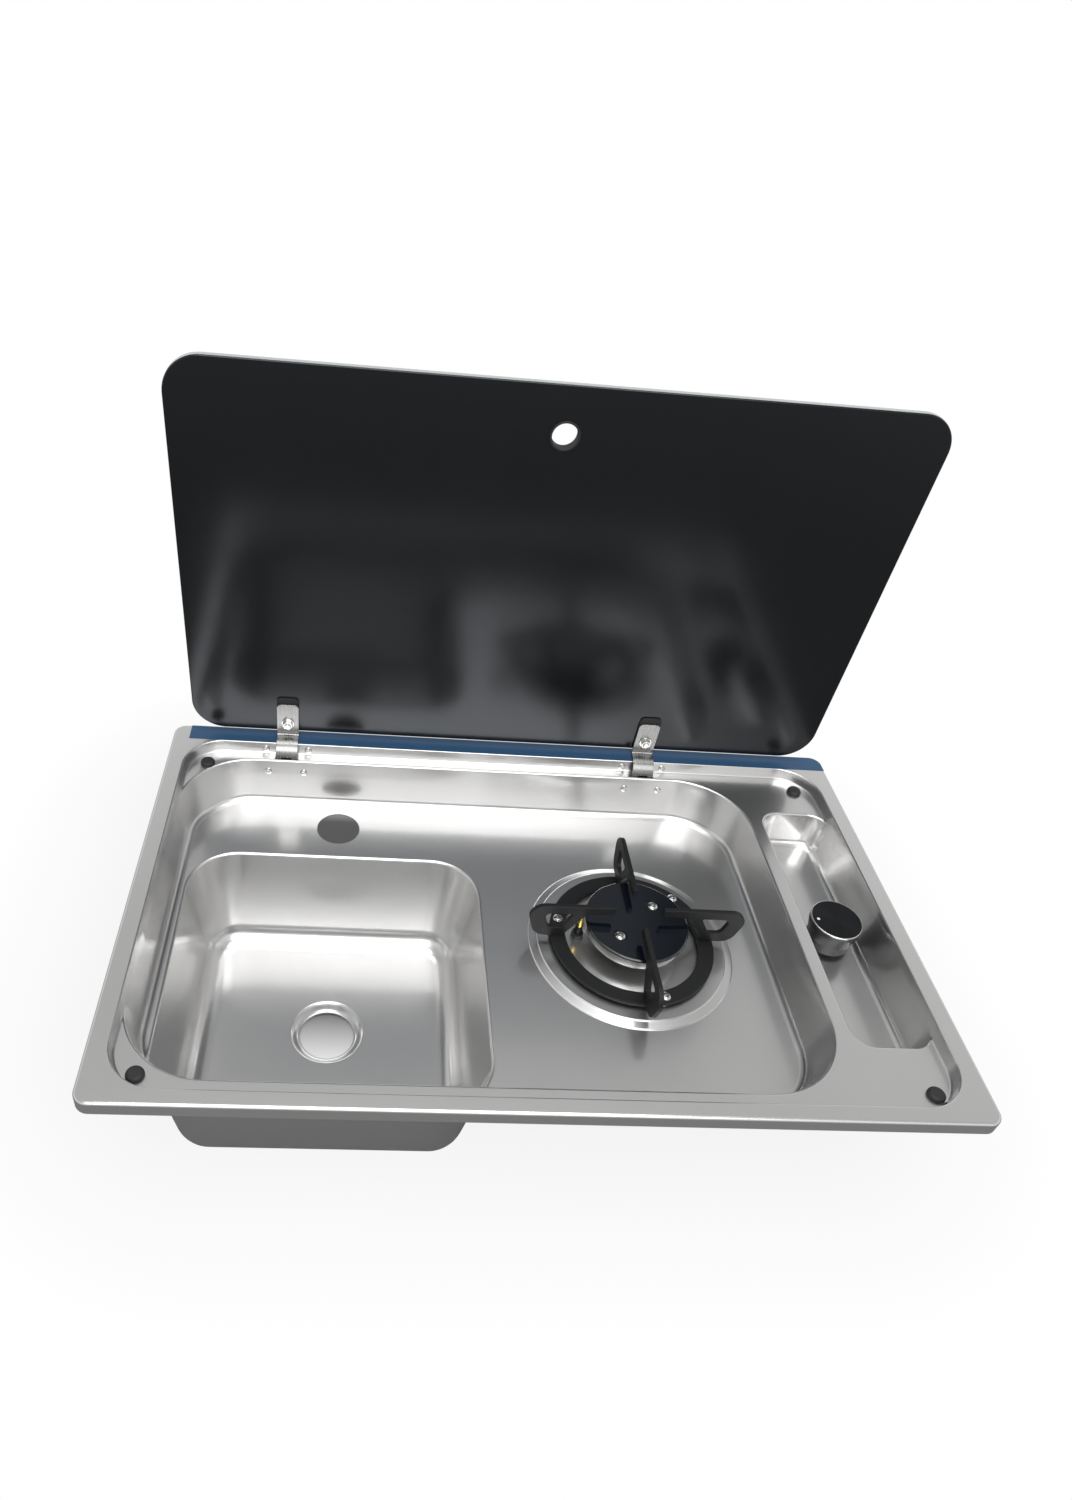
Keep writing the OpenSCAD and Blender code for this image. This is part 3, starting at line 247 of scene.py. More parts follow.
def fill(loops: Sequence[np.ndarray]) -> tuple[np.ndarray, list[tuple[int, int, int]], list[int]]:
    """Fills the area between closed loops with triangles.

    Args:
        loops: the outer loop and then the holes, each (n, 2).

    Returns:
        The spots, the triangles among them, and for each spot its place in the joined loops or -1.
    """
    spots, faces, source = triangulate(loops, MERGING)
    mids = spots[faces].mean(axis=1)
    inside = np.zeros(len(mids), bool)
    for loop in loops:
        for (ax, ay), (bx, by) in zip(loop, np.roll(loop, -1, axis=0)):
            crosses = (ay > mids[:, 1]) != (by > mids[:, 1])
            if ay != by:
                inside ^= crosses & (mids[:, 0] < (bx - ax) * (mids[:, 1] - ay) / (by - ay) + ax)
    return spots, [tuple(int(k) for k in f) for f in faces[inside]], source


def slope(values: Callable[[np.ndarray], np.ndarray], spots: np.ndarray, step: float) -> np.ndarray:
    """How fast a value changes along X and along Y, at each spot in plan."""
    moves = np.array([[step, 0.0], [0.0, step]])
    return np.stack([(values(spots + m) - values(spots - m)) / (2 * step) for m in moves], axis=1)


class MeshMaker:
    """Collects a piece's vertices and faces, with the exact normal at each corner of each face."""

    def __init__(self) -> None:
        """Starts an empty piece."""
        self.points: list[np.ndarray] = []
        self.faces: list[tuple[int, ...]] = []
        self.normals: list[list[np.ndarray]] = []
        self.finishes: list[int] = []

    def point(self, x: float, y: float, z: float) -> int:
        """Adds a vertex and returns its index."""
        self.points.append(np.array([x, y, z], float))
        return len(self.points) - 1

    def face(self, corners: Sequence[int], normals: Sequence[np.ndarray], finish: int = 0) -> None:
        """Adds a face that looks the way its normals point.

        Args:
            corners: the vertex indices in order round the face.
            normals: one normal per corner.
            finish: the material's place in the piece.
        """
        if len(set(corners)) < 3:
            return
        p = [self.points[c] for c in corners]
        flat = np.cross(p[1] - p[0], p[2] - p[0])
        if len(p) == 4:
            flat = flat + np.cross(p[2] - p[0], p[3] - p[0])
        if float(flat @ sum(normals)) < 0:
            corners, normals = list(reversed(corners)), list(reversed(normals))
        self.faces.append(tuple(corners))
        self.normals.append([np.asarray(n, float) for n in normals])
        self.finishes.append(finish)

    def place(self, matrix: Matrix, points: int = 0, faces: int = 0) -> None:
        """Moves what was made.

        Args:
            matrix: a rotation and a translation in millimetres.
            points: how many of the first vertices stay where they are.
            faces: how many of the first faces stay.
        """
        m = np.array(matrix, float)
        turn = m[:3, :3]
        self.points[points:] = [turn @ p + m[:3, 3] for p in self.points[points:]]
        self.normals[faces:] = [[turn @ n for n in ns] for ns in self.normals[faces:]]

    @contextmanager
    def moved(self, matrix: Matrix) -> Iterator[None]:
        """Moves what is made in the block by a rotation and a translation in millimetres."""
        points, faces = len(self.points), len(self.faces)
        yield
        self.place(matrix, points, faces)

    def bend(self, route: Callable[[np.ndarray], tuple[np.ndarray, np.ndarray]]) -> None:
        """Bends what was made.

        Args:
            route: gives a point's new place and the turn that its normals take.
        """
        made = [route(p) for p in self.points]
        self.points = [place for place, _ in made]
        pairs = zip(self.faces, self.normals)
        self.normals = [[made[c][1] @ n for c, n in zip(face, ns)] for face, ns in pairs]

    def flat(
        self,
        loops: Sequence[np.ndarray],
        z: float,
        normal: np.ndarray,
        finish: int = 0,
        known: Sequence[int] = (),
    ) -> None:
        """Fills the area between loops at one height.

        Args:
            loops: the outer loop and then the holes.
            z: the height.
            normal: which way the face looks.
            finish: the material's place in the piece.
            known: the vertices of the loops, where the face shares them.
        """
        spots, triangles, source = fill(loops)
        index = [known[s] if known and s >= 0 else self.point(p[0], p[1], z) for s, p in zip(source, spots)]
        for triangle in triangles:
            self.face([index[c] for c in triangle], [normal] * 3, finish)

    def lathe(self, line: Line, steps: int = 64, finish: int = 0) -> None:
        """Turns an outline of radius and height round the Z axis.

        Args:
            line: spots of (radius, height), anticlockwise round the material.
            steps: how many sides the circle has.
            finish: the material's place in the piece.
        """
        angles = np.arange(steps) * 2 * math.pi / steps
        rows: list[list[int]] = []
        last: np.ndarray | None = None
        for spot in line.spots:
            if last is not None and np.linalg.norm(spot - last) < TOUCHING:
                rows.append(rows[-1])
            elif abs(spot[0]) < TOUCHING:
                rows.append([self.point(0, 0, spot[1])] * steps)
            else:
                radius, z = spot
                rows.append([self.point(radius * math.cos(a), radius * math.sin(a), z) for a in angles])
            last = spot
        turns = [np.array([[math.cos(a), 0], [math.sin(a), 0], [0, 1]]) for a in angles]
        count = len(rows)
        for i in range(count if line.closed else count - 1):
            j = (i + 1) % count
            if rows[i] is rows[j] or np.linalg.norm(line.spots[i] - line.spots[j]) < TOUCHING:
                continue
            for k in range(steps):
                n = (k + 1) % steps
                corners, normals = [], []
                for row, a, side in ((i, k, k), (i, n, n), (j, n, n), (j, k, k)):
                    if rows[row][a] not in corners:
                        corners.append(rows[row][a])
                        normals.append(turns[side] @ line.normals[row])
                self.face(corners, normals, finish)

    def plate(
        self,
        outer: Line,
        holes: Sequence[Line],
        low: float,
        high: float,
        bevel: float,
        finish: int = 0,
        low_finish: int | None = None,
        high_finish: int | None = None,
        steps: int = 3,
        dark_low: bool = False,
    ) -> None:
        """Makes a flat plate with rounded edges.

        Args:
            outer: the plate's outline.
            holes: the outlines of its holes, as circles or anticlockwise outlines.
            low: height of its lower face.
            high: height of its upper face.
            bevel: radius of its rounded edges.
            finish: the material of the sides.
            low_finish: the material of the lower face, if it is another one.
            high_finish: the material of the upper face, if it is another one.
            steps: steps of the rounded edge.
            dark_low: whether the lower rounded edge has the lower face's material.
        """
        lines = [outer] + [h.flipped() for h in holes]
        rims: list[tuple[list[int], list[int], np.ndarray, np.ndarray]] = []
        for line in lines:
            spots, spot_of = unique_spots(line)
            reach = mitres(line, spots, spot_of)
            levels = []
            for sign, face_z in ((1, high), (-1, low)):
                for k in range(steps + 1 if bevel > 0 else 1):
                    angle = math.pi / 2 * k / steps if bevel > 0 else math.pi / 2
                    inset = bevel * (1 - math.sin(angle))
                    z = face_z - sign * bevel * (1 - math.cos(angle))
                    levels.append((spots - reach * inset, z, angle, sign))
            half = len(levels) // 2
            levels = levels[:half] + levels[half:][::-1]
            rows = [[self.point(p[0], p[1], z) for p in flat] for flat, z, _, _ in levels]
            count = len(line.spots)
            for a in range(len(levels) - 1):
                for i in range(count):
                    j = (i + 1) % count
                    if spot_of[i] == spot_of[j]:
                        continue
                    corners, normals = [], []
                    for level, s in ((a, i), (a, j), (a + 1, j), (a + 1, i)):
                        _, _, angle, sign = levels[level]
                        side = np.array([line.normals[s][0], line.normals[s][1], 0.0])
                        corners.append(rows[level][spot_of[s]])
                        normals.append(side * math.sin(angle) + UP * sign * math.cos(angle))
                    on_low = low_finish is not None and levels[a][3] < 0 and dark_low
                    self.face(corners, normals, low_finish if on_low else finish)
            rims.append((rows[0], rows[-1], levels[0][0], levels[-1][0]))
        for top, normal, kind in ((True, UP, high_finish), (False, -UP, low_finish)):
            loops = [r[2] if top else r[3] for r in rims]
            known = [i for r in rims for i in (r[0] if top else r[1])]
            self.flat(loops, high if top else low, normal, finish if kind is None else kind, known)


def unique_spots(line: Line) -> tuple[np.ndarray, list[int]]:
    """The different spots of an outline, and for each of its entries which one it is."""
    spots: list[np.ndarray] = []
    spot_of: list[int] = []
    for spot in line.spots:
        if spots and np.linalg.norm(spot - spots[-1]) < TOUCHING:
            spot_of.append(len(spots) - 1)
        else:
            spots.append(spot)
            spot_of.append(len(spots) - 1)
    if len(spots) > 1 and np.linalg.norm(spots[0] - spots[-1]) < TOUCHING:
        last = len(spots) - 1
        spots.pop()
        spot_of = [0 if s == last else s for s in spot_of]
    return np.array(spots), spot_of


def mitres(line: Line, spots: np.ndarray, spot_of: Sequence[int]) -> np.ndarray:
    """How far each spot moves for an offset of one, so that both sides of a sharp corner move alike."""
    total = np.zeros_like(spots)
    seen = np.zeros(len(spots))
    for s, n in zip(spot_of, line.normals):
        total[s] += n
        seen[s] += 1
    mean = total / seen[:, None]
    return mean / np.maximum((mean * mean).sum(axis=1), SHARPEST)[:, None]


def turn_about(axis: str, degrees: float, pivot: tuple[float, float, float] = (0.0, 0.0, 0.0)) -> Matrix:
    """A rotation in degrees about an axis through a pivot."""
    away = Matrix.Translation(pivot)
    return away @ Matrix.Rotation(math.radians(degrees), 4, axis) @ away.inverted()


@dataclass
class PieceGroup:
    """Pieces that are built together from the same materials."""

    materials: Materials

    def add(
        self,
        maker: MeshMaker,
        name: str,
        nodes: str,
        body: Body,
        slot: str,
        finishes: Sequence[str] = (),
        place: Matrix | None = None,
    ) -> None:
        """Makes the Blender object of a piece and puts it on its body.

        Args:
            maker: the piece's mesh.
            name: the piece's name.
            nodes: the CAD nodes that it stands for, with spaces between them.
            body: the body that it rides on.
            slot: the record's material slot.
            finishes: the names of its finishes in order, or none where the slot's name is the finish's.
            place: where the piece goes, in millimetres.
        """
        if place is not None:
            maker.place(place)
        mesh = bpy.data.meshes.new(name)
        mesh.from_pydata([tuple(p * MM) for p in maker.points], [], maker.faces)
        for finish in finishes or (slot,):
            mesh.materials.append(self.materials[finish])
        mesh.polygons.foreach_set("material_index", maker.finishes)
        mesh.polygons.foreach_set("use_smooth", [True] * len(maker.faces))
        mesh.normals_split_custom_set([tuple(n / np.linalg.norm(n)) for ns in maker.normals for n in ns])
        mesh.update()
        obj = bpy.data.objects.new(name, mesh)
        bpy.context.scene.collection.objects.link(obj)
        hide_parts(*nodes.split())
        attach(obj, body.value)
        LOG.info("%s: %d faces, rides on %s", name, len(maker.faces), body.value)


# Finishes


class Shader:
    """Short ways to build a material's or a group's nodes."""

    def __init__(self, tree: bpy.types.NodeTree) -> None:
        """Works on one node tree."""
        self.tree = tree

    def node(
        self, kind: str, values: dict[str | int, object] | None = None, **settings: object
    ) -> bpy.types.Node:
        """Adds a node.

        Args:
            kind: the node's type.
            values: its input values, by socket name or place.
            settings: its own settings.

        Returns:
            The node.
        """
        node = self.tree.nodes.new(kind)
        for key, value in settings.items():
            setattr(node, key, value)
        for key, value in (values or {}).items():
            if isinstance(value, bpy.types.NodeSocket):
                self.tree.links.new(value, node.inputs[key])
            else:
                node.inputs[key].default_value = value
        return node

    def maths(self, operation: str, *values: object) -> bpy.types.NodeSocket:
        """A Math node's result."""
        return self.node("ShaderNodeMath", dict(enumerate(values)), operation=operation).outputs[0]

    def here(self, kind: str = "Object") -> bpy.types.NodeSocket:
        """Where the shaded point lies."""
        return self.node("ShaderNodeTexCoord").outputs[kind]

    def remap(
        self, value: object, low: float, high: float, to_low: object = 0.0, to_high: object = 1.0
    ) -> bpy.types.NodeSocket:
        """A value carried from one range to another and held within it."""
        made = self.node("ShaderNodeMapRange", {0: value, 1: low, 2: high, 3: to_low, 4: to_high})
        return made.outputs[0]

    def noise(
        self, where: object, scale: object, detail: float = 3.0, distortion: float = 0.0
    ) -> bpy.types.NodeSocket:
        """A noise texture's value."""
        values = {"Vector": where, "Scale": scale, "Detail": detail, "Distortion": distortion}
        return self.node("ShaderNodeTexNoise", values).outputs["Fac"]

    def vector(self, operation: str, *values: object) -> bpy.types.NodeSocket:
        """A Vector Math node's result."""
        node = self.node("ShaderNodeVectorMath", dict(enumerate(values)), operation=operation)
        return node.outputs["Value" if operation == "LENGTH" else 0]

    def blend(self, amount: object, first: object, second: object) -> bpy.types.NodeSocket:
        """Two colours mixed."""
        made = self.node("ShaderNodeMix", {0: amount, 6: first, 7: second}, data_type="RGBA")
        return made.outputs[2]


def new_group(
    name: str, inputs: Sequence[tuple[str, str, float]], outputs: Sequence[tuple[str, str]]
) -> tuple[bpy.types.NodeTree, Shader, bpy.types.Node, bpy.types.Node]:
    """Starts a shader node group.

    Args:
        name: the group's name.
        inputs: name, socket type and default of each input.
        outputs: name and socket type of each output.

    Returns:
        The group, a Shader on it, its input node and its output node.
    """
    tree = bpy.data.node_groups.new(name, "ShaderNodeTree")
    for label, kind, default in inputs:
        socket = tree.interface.new_socket(label, in_out="INPUT", socket_type=kind)
        socket.default_value = default
    for label, kind in outputs:
        tree.interface.new_socket(label, in_out="OUTPUT", socket_type=kind)
    shader = Shader(tree)
    return tree, shader, tree.nodes.new("NodeGroupInput"), tree.nodes.new("NodeGroupOutput")


FLOAT = "NodeSocketFloat"
TEXTURE_OUT = (("Mask", FLOAT), ("Height", FLOAT))
IN_PLAN = (1.0, 1.0, 0.0)


def make_handling_marks() -> bpy.types.NodeTree:
    """Faint smears and wiped patches, as on metal and glass that have been handled.

    Returns:
        A group that gives a mask from 0 to 1.
    """
    broad_share, finer = 0.7, 6.0
    tree, sh, given, out = new_group("handling_marks", [("Size", FLOAT, 14.0)], [("Mask", FLOAT)])
    where = sh.here()
    broad = sh.noise(where, given.outputs["Size"], 2.0)
    fine_size = sh.maths("MULTIPLY", given.outputs["Size"], finer)
    wiped = sh.noise(where, fine_size, 4.0, 0.6)
    mixed = sh.maths(
        "ADD", sh.maths("MULTIPLY", broad, broad_share), sh.maths("MULTIPLY", wiped, 1.0 - broad_share)
    )
    tree.links.new(sh.remap(mixed, 0.35, 0.65), out.inputs["Mask"])
    return tree


def make_rolled_grain() -> bpy.types.NodeTree:
    """Fine lines that rolling leaves along a metal sheet, drawn along X.

    Returns:
        A group that gives a mask from 0 to 1 and a height for Bump.
    """
    inputs = [("Along", FLOAT, 6.0), ("Across", FLOAT, 900.0)]
    tree, sh, given, out = new_group("rolled_grain", inputs, TEXTURE_OUT)
    where = sh.here()
    along, across = given.outputs["Along"], given.outputs["Across"]
    scale = sh.node("ShaderNodeCombineXYZ", {"X": along, "Y": across, "Z": across}).outputs[0]
    finish_lines(sh, out, sh.vector("MULTIPLY", where, scale))
    return tree


def finish_lines(sh: Shader, out: bpy.types.Node, place: object) -> None:
    """Ends a group of fine lines.

    Args:
        sh: the group's shader helper.
        out: the group's output node.
        place: where the noise is read, stretched so that it gives lines.
    """
    lines = sh.noise(place, 1.0, 2.0)
    sh.tree.links.new(sh.remap(lines, 0.3, 0.7), out.inputs["Mask"])
    sh.tree.links.new(lines, out.inputs["Height"])


def make_fine_texture() -> bpy.types.NodeTree:
    """The even fine roughness of enamel, rubber, cast metal or moulded plastic.

    Returns:
        A group that gives a mask from 0 to 1 and a height for Bump.
    """
    tree, sh, given, out = new_group("fine_texture", [("Grain", FLOAT, 900.0)], TEXTURE_OUT)
    where = sh.here()
    mask_scale = 25.0
    tree.links.new(sh.noise(where, mask_scale, 2.0), out.inputs["Mask"])
    tree.links.new(sh.noise(where, given.outputs["Grain"]), out.inputs["Height"])
    return tree


def make_turned_rings() -> bpy.types.NodeTree:
    """The rings that a lathe tool leaves round the Z axis through a chosen middle.

    Returns:
        A group that gives a mask from 0 to 1 and a height for Bump.
    """
    inputs = [("Middle X", FLOAT, 0.0), ("Middle Y", FLOAT, 0.0), ("Rings", FLOAT, 3000.0)]
    tree, sh, given, out = new_group("turned_rings", inputs, TEXTURE_OUT)
    where = sh.here()
    axis = {"X": given.outputs["Middle X"], "Y": given.outputs["Middle Y"]}
    off = sh.vector("SUBTRACT", where, sh.node("ShaderNodeCombineXYZ", axis).outputs[0])
    radius = sh.vector("LENGTH", sh.vector("MULTIPLY", off, IN_PLAN))
    place = {"X": sh.maths("MULTIPLY", radius, given.outputs["Rings"])}
    finish_lines(sh, out, sh.node("ShaderNodeCombineXYZ", place).outputs[0])
    return tree


@dataclass(frozen=True)
class Texture:
    """A shared group with the values of its inputs."""

    group: str
    settings: dict[str, float]


def fine(grain: float) -> Texture:
    """The fine texture at a scale."""
    return Texture("fine_texture", {"Grain": grain})


def rings_round(axis: tuple[float, float], count: float = 3000.0) -> Texture:
    """Turned rings round an axis, so many to the metre."""
    return Texture("turned_rings", {"Middle X": axis[0] * MM, "Middle Y": axis[1] * MM, "Rings": count})


@dataclass(frozen=True)
class Finish:
    """A surface finish: one Principled shader fed by the shared groups."""

    name: str
    color: tuple[float, float, float]
    roughness: float
    metallic: float
    rough_spread: float
    shade_spread: float
    texture: Texture
    bump: float = 0.05
    bump_distance: float = 0.0001
    marks: float = 0.0
    marks_size: float = 14.0
    coat: float = 0.0
    coat_roughness: float = 0.1
    coat_ior: float = 1.5
    ior: float = 1.5
    tint: tuple[float, float, float] = (1.0, 1.0, 1.0)
    anisotropic: float = 0.0
    light_share: float = 0.5

    def make(self, groups: dict[str, bpy.types.NodeTree]) -> bpy.types.Material:
        """Builds the material.

        Args:
            groups: the shared node groups by name.

        Returns:
            The material.
        """
        material = bpy.data.materials.new(self.name)
        material.use_nodes = True
        tree = material.node_tree
        sh = Shader(tree)
        shader = tree.nodes["Principled BSDF"]
        grain = sh.node("ShaderNodeGroup", node_tree=groups[self.texture.group])
        for label, value in self.texture.settings.items():
            grain.inputs[label].default_value = value
        marks = sh.node("ShaderNodeGroup", node_tree=groups["handling_marks"])
        marks.inputs["Size"].default_value = self.marks_size
        dark = tuple(c * (1 - self.shade_spread) for c in self.color) + (1.0,)
        light = tuple(min(1.0, c * (1 + self.shade_spread * self.light_share)) for c in self.color) + (1.0,)
        tree.links.new(sh.blend(grain.outputs["Mask"], dark, light), shader.inputs["Base Color"])
        low, high = self.roughness - self.rough_spread, self.roughness + self.rough_spread
        rough = sh.remap(grain.outputs["Mask"], 0.0, 1.0, low, high)
        smear = sh.maths("MULTIPLY", marks.outputs["Mask"], self.marks)
        tree.links.new(sh.maths("ADD", rough, smear), shader.inputs["Roughness"])
        values = {"Strength": self.bump, "Distance": self.bump_distance, "Height": grain.outputs["Height"]}
        tree.links.new(sh.node("ShaderNodeBump", values).outputs[0], shader.inputs["Normal"])
        shader.inputs["Metallic"].default_value = self.metallic
        shader.inputs["IOR"].default_value = self.ior
        shader.inputs["Coat Weight"].default_value = self.coat
        shader.inputs["Coat Roughness"].default_value = self.coat_roughness
        shader.inputs["Coat IOR"].default_value = self.coat_ior
        shader.inputs["Anisotropic"].default_value = self.anisotropic
        shader.inputs["Specular Tint"].default_value = self.tint + (1.0,)
        if self.anisotropic:
            around = sh.node("ShaderNodeTangent", direction_type="RADIAL", axis="Z")
            tree.links.new(around.outputs[0], shader.inputs["Tangent"])
        return material


PLAIN, METAL = 0.0, 1.0

# Each has its name, colour, roughness, metal, spread of roughness, spread of shade and texture
FINISHES = (
    Finish(
        "satin_stainless", (0.63, 0.626, 0.62), 0.34, METAL, 0.01, 0.03, fine(1600), bump=0.01,
        bump_distance=0.00002, marks=0.012, marks_size=5.0, coat=1.0, coat_roughness=0.15, coat_ior=3.3,
    ),
    Finish("bright_steel", (0.68, 0.68, 0.67), 0.2, METAL, 0.05, 0.08, fine(1400), bump=0.03),
    Finish(
        "strap_steel", (0.3, 0.3, 0.295), 0.28, METAL, 0.05, 0.08,
        Texture("rolled_grain", {"Along": 900.0, "Across": 40.0}),
    ),
    Finish("zinc_plate", (0.5, 0.51, 0.52), 0.34, METAL, 0.08, 0.15, fine(500), bump=0.06),
    Finish(
        "black_enamel_glass", (0.004, 0.0042, 0.0055), 0.16, PLAIN, 0.02, 0.1, fine(300), bump=0.0,
        marks=0.05, marks_size=9.0, tint=(0.88, 0.94, 1.0),
    ),
    Finish(
        "clear_faced_glass", (0.006, 0.006, 0.007), 0.04, PLAIN, 0.01, 0.1, fine(300), bump=0.0,
        marks=0.02, marks_size=9.0,
    ),
    Finish("ground_glass_edge", (0.42, 0.45, 0.44), 0.32, PLAIN, 0.05, 0.15, fine(1500), bump=0.08, coat=0.3),
    Finish("black_rubber", (0.018, 0.018, 0.019), 0.6, PLAIN, 0.05, 0.2, fine(1200), bump=0.15),
    Finish(
        "foam_strip", (0.05, 0.05, 0.05), 0.9, PLAIN, 0.03, 0.3, fine(700), bump=0.6,
        bump_distance=0.0003,
    ),
    Finish(
        "blue_film", (0.03, 0.09, 0.185), 0.3, PLAIN, 0.05, 0.12, fine(120), bump=0.1,
        bump_distance=0.0003, ior=1.4,
    ),
    Finish(
        "matt_black_enamel", (0.011, 0.0115, 0.0125), 0.5, PLAIN, 0.06, 0.2, fine(1500), bump=0.2,
        bump_distance=0.00006, ior=1.38,
    ),
    Finish(
        "gloss_black_enamel", (0.004, 0.006, 0.01), 0.14, PLAIN, 0.03, 0.2, fine(260), bump=0.03,
        coat=1.0, coat_roughness=0.05,
    ),
    Finish(
        "burner_aluminium", (0.93, 0.93, 0.92), 0.24, 0.9, 0.04, 0.05, rings_round(BURNER_AXIS), bump=0.1,
        bump_distance=0.00005,
    ),
    Finish("fibre_gasket", (0.22, 0.22, 0.21), 0.85, PLAIN, 0.05, 0.3, fine(800), bump=0.4),
    Finish("turned_brass", (0.66, 0.54, 0.14), 0.28, METAL, 0.08, 0.15, fine(900), bump=0.06),
    Finish("drawn_copper", (0.68, 0.33, 0.18), 0.32, METAL, 0.08, 0.2, fine(500), bump=0.06),
    Finish("black_plastic", (0.03, 0.031, 0.033), 0.34, PLAIN, 0.04, 0.15, fine(1500), bump=0.06),
    Finish(
        "spun_black_cap", (0.028, 0.029, 0.031), 0.3, METAL, 0.08, 0.25, rings_round(KNOB_AXIS, 4000.0),
        bump=0.12, bump_distance=0.00004, anisotropic=0.7,
    ),
    Finish(
        "bright_cut_edge", (0.75, 0.75, 0.75), 0.18, METAL, 0.04, 0.05, rings_round(KNOB_AXIS),
        bump_distance=0.00003,
    ),
    Finish("white_print", (0.85, 0.85, 0.84), 0.45, PLAIN, 0.04, 0.04, fine(1500), bump=0.04),
    # Near-black casting for the burner base and the sensor nut: painted shade in the gap under the flame ring
    Finish("dark_casting", (0.03, 0.03, 0.031), 0.55, PLAIN, 0.05, 0.2, fine(500), bump=0.2),
    Finish(
        "cast_alloy", (0.5, 0.48, 0.43), 0.42, METAL, 0.08, 0.2, fine(420), bump=0.25,
        bump_distance=0.0002,
    ),
    Finish("drawn_tube", (0.66, 0.66, 0.65), 0.28, METAL, 0.06, 0.1, fine(600)),
)


def make_materials() -> Materials:
    """Builds the groups and then every finish.

    Returns:
        The materials by name.
    """
    groups = {
        "handling_marks": make_handling_marks(),
        "rolled_grain": make_rolled_grain(),
        "fine_texture": make_fine_texture(),
        "turned_rings": make_turned_rings(),
    }
    return {finish.name: finish.make(groups) for finish in FINISHES}


# Tray


@dataclass(frozen=True)
class Outline:
    """A rounded rectangle in plan."""

    x0: float
    x1: float
    y0: float
    y1: float
    radius: float

    def inside(self, spots: np.ndarray) -> np.ndarray:
        """How far inside the outline each spot lies, below 0 outside."""
        middle = np.array([(self.x0 + self.x1) / 2, (self.y0 + self.y1) / 2])
        half = np.array([(self.x1 - self.x0) / 2, (self.y1 - self.y0) / 2]) - self.radius
        q = np.abs(spots - middle) - half
        return self.radius - np.linalg.norm(np.maximum(q, 0), axis=1) - np.minimum(q.max(axis=1), 0)

    def corners(self, inset: float = 0.0) -> list[Corner]:
        """The corners of the outline moved in by an inset."""
        radius = max(self.radius - inset, 0.01)
        return box_outline(self.x0 + inset, self.x1 - inset, self.y0 + inset, self.y1 - inset, radius)

    def loop(self, inset: float, longest: float = 30.0) -> np.ndarray:
        """The outline moved in by an inset, as a closed loop of spots."""
        return trace(self.corners(inset), turn_step=90 / 22, longest=longest).spots


@dataclass(frozen=True)
class Wall:
    """The wall of a pressed hollow, from its rounded top edge down to its floor."""

    depth: float
    draft: float
    bend: float
    crown: float
    crown_steps: int = 8
    straight_steps: int = 3
    bend_steps: int = 10

    def parts(self) -> tuple[float, float, float, float, float]:
        """The wall's angle, its bend's centre, the length of the straight and the crown's reach."""
        cx, cz = self.draft + self.bend, self.depth - self.bend
        far = math.hypot(cx, cz)
        angle = math.atan2(cz, cx) + math.asin(self.bend / far)
        return angle, cx, cz, math.sqrt(far * far - self.bend * self.bend), self.crown * math.tan(angle / 2)

    def drop(self, inset: np.ndarray) -> np.ndarray:
        """How far the surface lies below the top, at each inset."""
        angle, cx, cz, length, reach = self.parts()
        bottom = length * math.cos(angle)
        crown = self.crown - np.sqrt(np.maximum(self.crown**2 - (inset + reach) ** 2, 0))
        floor = cz + np.sqrt(np.maximum(self.bend**2 - (cx - inset) ** 2, 0))
        line = inset * math.tan(angle)
        out = np.where(inset <= -reach, 0.0, np.where(inset < reach * math.cos(angle), crown, line))
        return np.where(inset > bottom, np.where(inset < cx, floor, self.depth), out)

    def insets(self) -> list[float]:
        """Where the mesh needs a loop, from the crown to the floor."""
        angle, cx, _, length, reach = self.parts()
        tops, parts, turns = self.crown_steps, self.straight_steps, self.bend_steps
        crown = [-reach + self.crown * math.sin(angle * k / tops) for k in range(tops + 1)]
        start, end = crown[-1], length * math.cos(angle)
        straight = [start + (end - start) * k / parts for k in range(1, parts)]
        bend = [cx - self.bend * math.sin(angle * (1 - k / turns)) for k in range(turns + 1)]
        return crown + straight + bend


